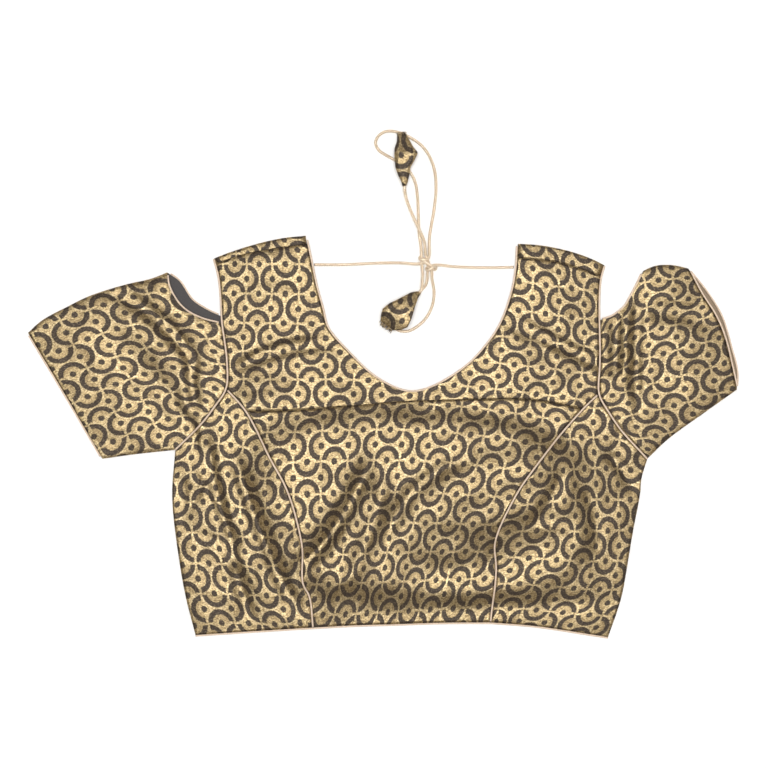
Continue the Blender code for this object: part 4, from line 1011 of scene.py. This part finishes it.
def tassel(name, tip, end, sections, node, seed, dot, odd, longest):
    """A cloth tassel in the CAD's sections, with soft pleats and a frayed foot.

    dot places a dot of the repeat at (sideways, along) in mm; odd tells which way its half ring lies.
    longest is the length of the longest threads of its foot.
    """
    tip, end = np.array(tip, float), np.array(end, float)
    direction = (end - tip) / math.dist(tip, end)
    across = np.array([-direction[1], direction[0]])
    shares, widths, moves, heights = (np.array(column) for column in zip(*sections))
    angle = 2 * math.pi * np.arange(TASSEL_ROUND) / TASSEL_ROUND
    lift = np.sign(np.sin(angle)) * np.abs(np.sin(angle)) ** FLATNESS
    rings = []
    for share in np.linspace(0, 1, TASSEL_ROWS):
        width, height = np.interp(share, shares, widths), np.interp(share, shares, heights)
        pleat = 1 + PLEAT_DEPTH * share * np.sin(5 * angle + seed)
        pleat = pleat + PLEAT_DEPTH / 2 * share * np.sin(9 * angle + 2 * seed)
        middle = tip + (end - tip) * share + across * np.interp(share, shares, moves)
        side = width * pleat * np.cos(angle)
        z = OVER_CORD + height * (1 + np.clip(pleat * lift, -1, 1.15))
        rings.append(np.stack([middle[0] + across[0] * side, middle[1] + across[1] * side, z], axis=1))
    rings = np.array(rings)
    inner = rings[::-1][:FOLDED_ROWS]
    centre = inner.mean(axis=1, keepdims=True)
    points, faces = rings_mesh(np.concatenate([rings, centre + (inner - centre) * FOLDED_SHARE]))
    shown = np.stack([((points[:, :2] - tip) @ across - dot[0]) / REPEAT_ACROSS + odd,
                      ((points[:, :2] - tip) @ direction - dot[1]) / REPEAT_DOWN], axis=1)
    coordinates = [tuple(shown[i]) for face in faces for i in face]
    cloth = add_mesh(name, points, faces, [BROCADE], coordinates, nodes=(node,))
    rng = np.random.default_rng(seed)
    return [cloth, frayed_foot(f"{name}_fray", rings[-1], direction, across, longest, rng)]


upper = tassel("tassel_top", *TASSEL_UPPER, "tassel_upper", 3, (1.6, 30.2), 1, 2.4)
lower = tassel("tassel_foot", *TASSEL_LOWER, "tassel_lower", 5, (-9.7, 18.4), 0, 4.6)
neck_tie(
    "neck_tie_left",
    cord_line(TIE_LEFT[:-1], THROUGH_KNOT_LEFT, UPPER_LOOP, DOWN_THROUGH_KNOT, LOWER_TAIL,
              into_tassel(*TASSEL_LOWER)),
    ("tie_left", "loop_upper", "tail_lower"),
)
neck_tie(
    "neck_tie_right",
    cord_line(TIE_RIGHT[:-1], THROUGH_KNOT_RIGHT, LOWER_LOOP[::-1], UP_THROUGH_KNOT, UPPER_TAIL,
              into_tassel(*TASSEL_UPPER)),
    ("tie_right", "loop_lower", "tail_upper"),
)
knot()


# Cloth


def surface(grids):
    """One mesh from (grid, faces up or not, layout) rows. Points that grids share become one."""
    points, faces, owner, known = [], [], [], {}
    for number, (grid, up, _) in enumerate(grids):
        rows, columns = grid.shape[:2]
        keys = np.round(grid, 2)
        ids = np.zeros((rows, columns), int)
        for i in range(rows):
            for j in range(columns):
                key = tuple(keys[i, j].tolist())
                if key not in known:
                    known[key] = len(points)
                    points.append(grid[i, j])
                ids[i, j] = known[key]
        for i in range(rows - 1):
            for j in range(columns - 1):
                quad = [ids[i, j], ids[i, j + 1], ids[i + 1, j + 1], ids[i + 1, j]]
                face = list(dict.fromkeys(int(k) for k in (quad if up else quad[::-1])))
                if len(face) > 2:
                    faces.append(face)
                    owner.append(number)
    return np.array(points), faces, owner


SHELL = 0.9  # the scene's cloth is thinner than the CAD's wall
FACED_CUFFS = ("sleeve_left_cuff", "sleeve_right_cuff", "sleeve_right_cuff_under")
FACING_WIDTH = 14.0


def point_normals(points, faces):
    """Unit normals of the points and the summed area of the faces."""
    corners = np.array([face if len(face) == 4 else [*face, face[0]] for face in faces])
    a, b, c, d = (points[corners[:, k]] for k in range(4))
    triangle = corners[:, 3] == corners[:, 0]
    normal = np.where(triangle[:, None], np.cross(b - a, c - a), np.cross(c - a, d - b))
    normals = np.zeros_like(points)
    for k in range(4):
        np.add.at(normals, corners[:, k], normal)
    return normals / np.linalg.norm(normals, axis=1)[:, None], np.linalg.norm(normal, axis=1).sum() / 2


def thin_cloth(name, grids, node):
    """A thin shell and its area: brocade on the given surface, lining or a cuff's facing inside."""
    points, faces, owner = surface(grids)
    normals, area = point_normals(points, faces)
    edges = {}
    for number, face in enumerate(faces):
        for k, first in enumerate(face):
            edges[(first, face[(k + 1) % len(face)])] = number
    rim = sorted({i for edge in edges if edge[::-1] not in edges for i in edge})
    upright = [i for i in rim if abs(normals[i, 2]) > UPRIGHT]
    normals[upright] = np.sign(normals[upright, 2])[:, None] * np.array([0.0, 0.0, 1.0])
    count = len(points)
    both = np.vstack([points, points - normals * SHELL])
    whole = faces + [[i + count for i in face[::-1]] for face in faces]
    owners = owner + owner
    inside = [False] * len(faces) + [True] * len(faces)
    for (first, second), number in edges.items():
        if (second, first) not in edges:
            whole.append([second, first, first + count, second + count])
            owners.append(owner[number])
            inside.append(False)
    middles = np.array([both[face, :2].mean(axis=0) for face in whole])
    faced = np.min([distance_to(CURVES[cuff], middles) for cuff in FACED_CUFFS], axis=0) < FACING_WIDTH
    material_of = np.where(inside, np.where(faced, 2, 1), 0)
    maps = [layout(both[:, :2]) for _, _, layout in grids]
    coordinates = np.array([maps[number][i] for face, number in zip(whole, owners) for i in face])
    materials = [BROCADE, LINING, FACING][: material_of.max() + 1]
    return add_mesh(name, both, whole, materials, coordinates, material_of, (node,)), float(area) * MM * MM


# The cut of what shows of each sheet, in millimetres
FLAT_SIZES = {
    "yoke": (400, 190), "centre": (305, 236), "side_left": (155, 258), "side_right": (168, 258),
    "back_panel": (480, 420), "sleeve_left_cloth": (310, 195), "sleeve_right_cloth": (300, 150),
}


def declared(made, rests_on, *trims):
    """Prints a piece's area and the share of its flat rectangle that it fills."""
    piece, area = made
    width, height = FLAT_SIZES[piece.name]
    share = area / (width * height * MM * MM)
    print(f"sheet {piece.name}: area {area:.4f} m2, {share:.2f} of its rectangle")


def part_of(line, start, end):
    """The stretch of a line between the points nearest to start and end, in that order."""
    i, j = nearest_index(line, start), nearest_index(line, end)
    return line[i : j + 1] if i <= j else line[j : i + 1][::-1]


# Corners that several pieces share, left and right
STRAP_BASES = ((-157, 84), (217, 84))
NECK_BASES = ((-46, 98), (107, 100))


def strapped_patches(counts, arms, neck, tops, bottom, sides):
    """The grids of a piece with two straps: strap, middle and strap, in plan.

    arms and sides are its armhole and side lines, left and right, which run upwards. The neckline, the two
    tops and the bottom run from left to right.
    """
    outer = [arm[nearest_index(arm, base)] for arm, base in zip(arms, STRAP_BASES)]
    inner = [neck[nearest_index(neck, base)] for base in NECK_BASES]
    straps = []
    for first, last, left, right, top in (
        (outer[0], inner[0], arms[0], neck, tops[0]), (inner[1], outer[1], neck, arms[1], tops[1]),
    ):
        top_start, top_end = crossing(top, left, top[0]), crossing(top, right, top[-1])
        straps.append(coons(
            resample(np.array([first, last]), counts.strap_columns),
            resample(between(top, top_start, top_end), counts.strap_columns),
            resample(between(left, first, top_start), counts.strap_rows),
            resample(between(right, last, top_end), counts.strap_rows),
        ))
    top = joined(straps[0][0], resample(between(neck, *inner), counts.neck_columns), straps[1][0])
    corners, uprights = [], []
    for seam, arm, base in zip(sides, arms, outer):
        low, high = crossing(seam, bottom, seam[0]), crossing(seam, arm, seam[-1])
        corners.append(low)
        lower = resample(between(seam, low, high), counts.seam_rows)
        uprights.append(joined(lower, resample(between(arm, high, base), counts.armhole_rows)))
    middle = coons(resample(between(bottom, *corners), len(top) - 1), top, *uprights)
    return straps[0], middle, straps[1]


def front_yoke():
    arms, sides = [], []
    for side, turn, end in SIDES:
        princess = CURVES[f"princess_{side}"]
        arms.append(moved_left(CURVES[f"armhole_{side}"][::-1], -turn * PIPED_INSET))
        sides.append(moved_left(part_of(princess, LINES["yoke"][end], princess[0]), -turn * PIPED_INSET))
    tops = [moved_left(CURVES[f"seam_{side}"], -PLAIN_INSET) for side, _, _ in SIDES]
    neck, bottom = moved_left(CURVES["neck"], -PIPED_INSET), moved_left(CURVES["yoke"], PLAIN_INSET)
    patches = strapped_patches(YOKE_CELLS, arms, neck, tops, bottom, sides)
    grids = [(with_height(grid, front_top), True, lambda p: laid("yoke", p)) for grid in patches]
    return thin_cloth("yoke", grids, "front_yoke")


def front_panel(name, bottom, top, left, right, columns):
    """A panel of the front between four lines."""
    bottom, top, left, right = framed(bottom, top, left, right)
    grid = coons(
        resample(bottom, columns), resample(top, columns),
        resample(left, PANEL_ROWS), resample(right, PANEL_ROWS),
    )
    return thin_cloth(name, [(with_height(grid, front_top), True, lambda p: laid(name, p))], f"front_{name}")


def front_centre():
    left, right = (
        moved_left(part_of(CURVES[f"princess_{side}"], LINES["hem_centre"][end], LINES["yoke"][end]),
                   -turn * PIPED_INSET)
        for side, turn, end in SIDES
    )
    bottom, top = moved_left(CURVES["hem_centre"], EDGED_INSET), moved_left(CURVES["yoke"], -PLAIN_INSET)
    return front_panel("centre", bottom, top, left, right, CENTRE_COLUMNS)


def front_side(side, turn):
    """A side panel: hem below, armhole above, side seam outside and princess seam inside."""
    outline, princess = CURVES[f"side_{side}"], CURVES[f"princess_{side}"]
    arm = moved_left(part_of(CURVES[f"armhole_{side}"], outline[0], princess[0]), -turn * PIPED_INSET)
    outer = moved_left(outline[::-1], -turn * PLAIN_INSET)
    inner = moved_left(princess[::-1], turn * PIPED_INSET)
    bottom = moved_left(CURVES[f"hem_{side}"], EDGED_INSET)
    return front_panel(f"side_{side}", bottom, arm[::turn], *(outer, inner)[::turn], SIDE_COLUMNS)


def nearest_pair(line, start, end):
    """The points of an extended line nearest to two others."""
    line = resample(extended(line), 200)
    return line[nearest_index(line, start)], line[nearest_index(line, end)]


def wrapped_shoulder(strap, fold, seam):
    """Rows that carry the back's strap round the shoulder fold and forward to the seam."""
    columns = strap.shape[1] - 1
    start, end = strap[-1, 0], strap[-1, -1]
    fold = resample(between(fold, *nearest_pair(fold, start, end)), columns)
    seam = resample(between(seam, *nearest_pair(seam, start, end)), columns)
    inward = seam - fold
    reach = np.linalg.norm(inward, axis=1)[:, None]
    inward = inward / reach
    depth = np.minimum(WRAP_START, reach * WRAP_SHARE)
    start_line = fold + inward * depth
    top = front_top(start_line)
    rows = [np.concatenate([strap[-1], np.zeros((columns + 1, 1))], axis=1)]
    for turn in WRAP_TURNS:
        place = fold + inward * depth * (1 - math.cos(turn))
        rows.append(np.concatenate([place, (top * (1 + math.sin(turn)) / 2)[:, None]], axis=1))
    for share in np.linspace(0, 1, WRAP_ROWS)[1:]:
        place = start_line + (seam - start_line) * share
        rows.append(np.concatenate([place, front_top(place)[:, None]], axis=1))
    return np.array(rows)


def sewn_armhole(line, turn):
    """The back's edge up an armhole: out to the sleeve below its opening, and inside the piping above it."""
    share = np.clip((line[:, 1] - SEWN_TO) / SEWN_FADE, 0, 1)
    return moved_left(line, -turn * (share * PIPED_INSET - (1 - share) * BACK_SLEEVE_REACH))


def back():
    """The whole back, flat on the floor, with its straps wrapped forward over the shoulders."""
    arms = [sewn_armhole(CURVES[f"armhole_{side}"][::-1], turn) for side, turn, _ in SIDES]
    sides = [moved_left(CURVES[f"side_{side}"][::-1], -turn * PLAIN_INSET) for side, turn, _ in SIDES]
    tops = [moved_left(CURVES[f"fold_{side}"], -WRAP_START) for side, _, _ in SIDES]
    neck = moved_left(CURVES["neck"], -PIPED_INSET - BACK_NECK_INSET)
    hem = moved_left(CURVES["hem"], EDGED_INSET)
    patches = strapped_patches(BACK_CELLS, arms, neck, tops, hem, sides)
    grids = [(with_height(grid, 0.0), False, laid_straight) for grid in patches]
    for strap, (side, _, _) in zip(patches[::2], SIDES):
        seam = moved_left(CURVES[f"seam_{side}"], PLAIN_INSET)
        rows = wrapped_shoulder(strap, CURVES[f"fold_{side}"], seam)
        grids.append((rows, False, lambda p: laid("yoke", p) + WRAP_SHIFT))
    return thin_cloth("back_panel", grids, "back")


def at_shares(line, shares):
    lengths = along(line)
    return np.stack([np.interp(shares * lengths[-1], lengths, line[:, k]) for k in range(2)], axis=1)


def sleeve(side, turn):
    """A flattened tube, open at cuff and armhole, with its top cut away beside the shoulder."""
    name = f"sleeve_{side}"
    fold, underarm = CURVES[f"{name}_fold"], CURVES[f"{name}_underarm"]
    fold_cells = cells(fold, SLEEVE_CELL)
    columns = fold_cells + cells(CURVES[f"{name}_opening"], SLEEVE_CELL) + 1
    turned = FOLD_SHARE * np.array(TURNED_ROWS)
    inner = np.linspace(FOLD_SHARE, 1 - FOLD_SHARE, SLEEVE_ROWS - 1)
    spread = np.concatenate([turned, inner, 1 - turned[::-1]])
    near_fold = np.clip(np.minimum(spread, 1 - spread) / FOLD_SHARE, 0, 1)
    folded = np.ones((len(spread), columns + 1)) * np.sqrt(1 - (1 - near_fold) ** 2)[:, None]
    folded[np.ix_(spread > 0.5, np.arange(columns + 1) > fold_cells)] = 1
    corners, surfaces = None, []
    for layer, height in (("", front_top), ("_under", 0.0)):
        opening = CURVES[f"{name}_opening{layer}"]
        scoop = moved_left(opening, -turn * EDGED_INSET)
        arm = moved_left(part_of(CURVES[f"armhole_{side}"], underarm[-1], opening[-1]), turn * PIPED_INSET)
        hem = moved_left(CURVES[f"{name}_cuff{layer}"], -turn * EDGED_INSET)
        if corners is None:
            corners = (
                crossing(underarm, hem, underarm[0]), crossing(underarm, arm, underarm[-1]),
                crossing(fold, hem, hem[-1]), crossing(fold, scoop, fold[-1]),
            )
        low_out, low_in, high_out, high_in = corners
        arm_end = crossing(scoop, arm, arm[-1])
        bottom = resample(between(underarm, low_out, low_in), columns)
        top = joined(
            resample(between(fold, high_out, high_in), fold_cells),
            resample(between(scoop, high_in, arm_end), columns - fold_cells),
        )
        left, right = between(hem, low_out, high_out), between(arm, low_in, arm_end)
        plan = coons(bottom, top, at_shares(left, spread), at_shares(right, spread), spread)
        grid = with_height(plan, height)
        grid[..., 2] = FOLD_EDGE_TOP + (grid[..., 2] - FOLD_EDGE_TOP) * folded
        surfaces.append(grid)
    rows = [
        (surfaces[0], turn > 0, lambda p: laid(name, p)),
        (surfaces[1], turn < 0, laid_under(name, LINES[f"{name}_fold"])),
    ]
    return thin_cloth(f"{name}_cloth", rows, name)


def trimmed(line, start, end):
    """The line without its first and last few millimetres."""
    lengths = along(line)
    at = np.linspace(start, lengths[-1] - end, max(2, int(lengths[-1])))
    return np.stack([np.interp(at, lengths, line[:, k]) for k in range(line.shape[1])], axis=1)


def piping(name, line, radius, lift=0.0):
    """A satin piping on a seam line. lift is over the front's cloth, or None for one on the floor."""
    line = resample(line, cells(line, PIPING_STEP))
    z = np.full(len(line), radius + FLOOR_GAP) if lift is None else front_top(line) + lift
    ease = np.convolve(np.pad(z, 2, mode="edge"), np.ones(5) / 5, mode="valid")
    points, faces, coordinates = strand(np.concatenate([line, ease[:, None]], axis=1), radius, sides=10)
    node = f"piping_{name}"
    add_mesh(f"{node}_satin", points, faces, [PIPING], coordinates, nodes=(node,))


piping("neckline", CURVES["neck"], PIPING_RADIUS)
piping("hem", CURVES["hem"], EDGING_RADIUS)
for side, _, _ in SIDES:
    piping(f"armhole_{side}", CURVES[f"armhole_{side}"], PIPING_RADIUS)
    piping(f"princess_{side}", trimmed(CURVES[f"princess_{side}"], *PRINCESS_TRIM), PIPING_RADIUS)
for kind in ("opening", "cuff"):
    for side, _, _ in SIDES:
        for layer, lift in (("", EDGING_LIFT), ("_under", None)):
            line = trimmed(CURVES[f"sleeve_{side}_{kind}{layer}"], EDGING_TRIM, EDGING_TRIM)
            piping(f"{kind}_{side}{layer}", line, EDGING_RADIUS, lift)
declared(front_yoke(), "back", "neckline", "armhole_left", "armhole_right")
declared(front_centre(), "back", "princess_left", "princess_right", "hem")
for side, turn, _ in SIDES:
    declared(front_side(side, turn), "back")
declared(back(), "floor")
for side, turn, _ in SIDES:
    opening, cuff = f"opening_{side}", f"cuff_{side}"
    declared(sleeve(side, turn), "floor", opening, f"{opening}_under", cuff, f"{cuff}_under")


# Floor and light
FLOOR_HALF, FLOOR_DROP = 3.0, 0.0004
WORLD_COLOUR = (1.0, 0.90, 0.78, 1.0)
WALLS = (0.12, 0.58, 1.0, 0.20)  # two heights of the sky, its strength below the first and above the second


def floor():
    mesh = bpy.data.meshes.new("floor")
    corners = [(x * FLOOR_HALF, y * FLOOR_HALF, -FLOOR_DROP) for x, y in ((-1, -1), (1, -1), (1, 1), (-1, 1))]
    mesh.from_pydata(corners, [], [(0, 1, 2, 3)])
    g = Graph("floor", Roughness=0.9, Specular_IOR_Level=0.1)
    paper = g.noise(g.place(), 6.0)
    g.set("Base Color", g.mix(paper, (0.95, 0.95, 0.95), (0.97, 0.97, 0.97)))
    mesh.materials.append(g.material)
    placed("floor", mesh)


def area_light(name, place, size, energy):
    """A square light turned to the world's origin."""
    data = bpy.data.lights.new(name, "AREA")
    data.shape = "SQUARE"
    data.size = size
    data.energy = energy
    light = placed(name, data)
    light.location = place
    x, y, z = place
    light.rotation_euler = (math.acos(z / math.hypot(x, y, z)), 0.0, math.atan2(-x, y))


def studio_world():
    """The studio's walls are lighter than its ceiling."""
    world = bpy.data.worlds.new("studio")
    world.use_nodes = True
    nodes, links = world.node_tree.nodes, world.node_tree.links
    background = nodes["Background"]
    background.inputs["Color"].default_value = WORLD_COLOUR
    direction = nodes.new("ShaderNodeTexCoord").outputs["Generated"]
    split = nodes.new("ShaderNodeSeparateXYZ")
    links.new(direction, split.inputs[0])
    strength = nodes.new("ShaderNodeMapRange")
    strength.interpolation_type = "SMOOTHSTEP"
    for socket, value in zip(("From Min", "From Max", "To Min", "To Max"), WALLS):
        strength.inputs[socket].default_value = value
    links.new(split.outputs[2], strength.inputs["Value"])
    links.new(strength.outputs[0], background.inputs["Strength"])
    bpy.context.scene.world = world


floor()
area_light("above", (0, 0.15, 5.0), 2.6, 235)
area_light("left", (-1.5, 0.9, 1.1), 0.7, 11)
area_light("right", (1.6, -0.9, 1.3), 0.9, 17)
studio_world()
bpy.context.scene.view_settings.view_transform = "Standard"
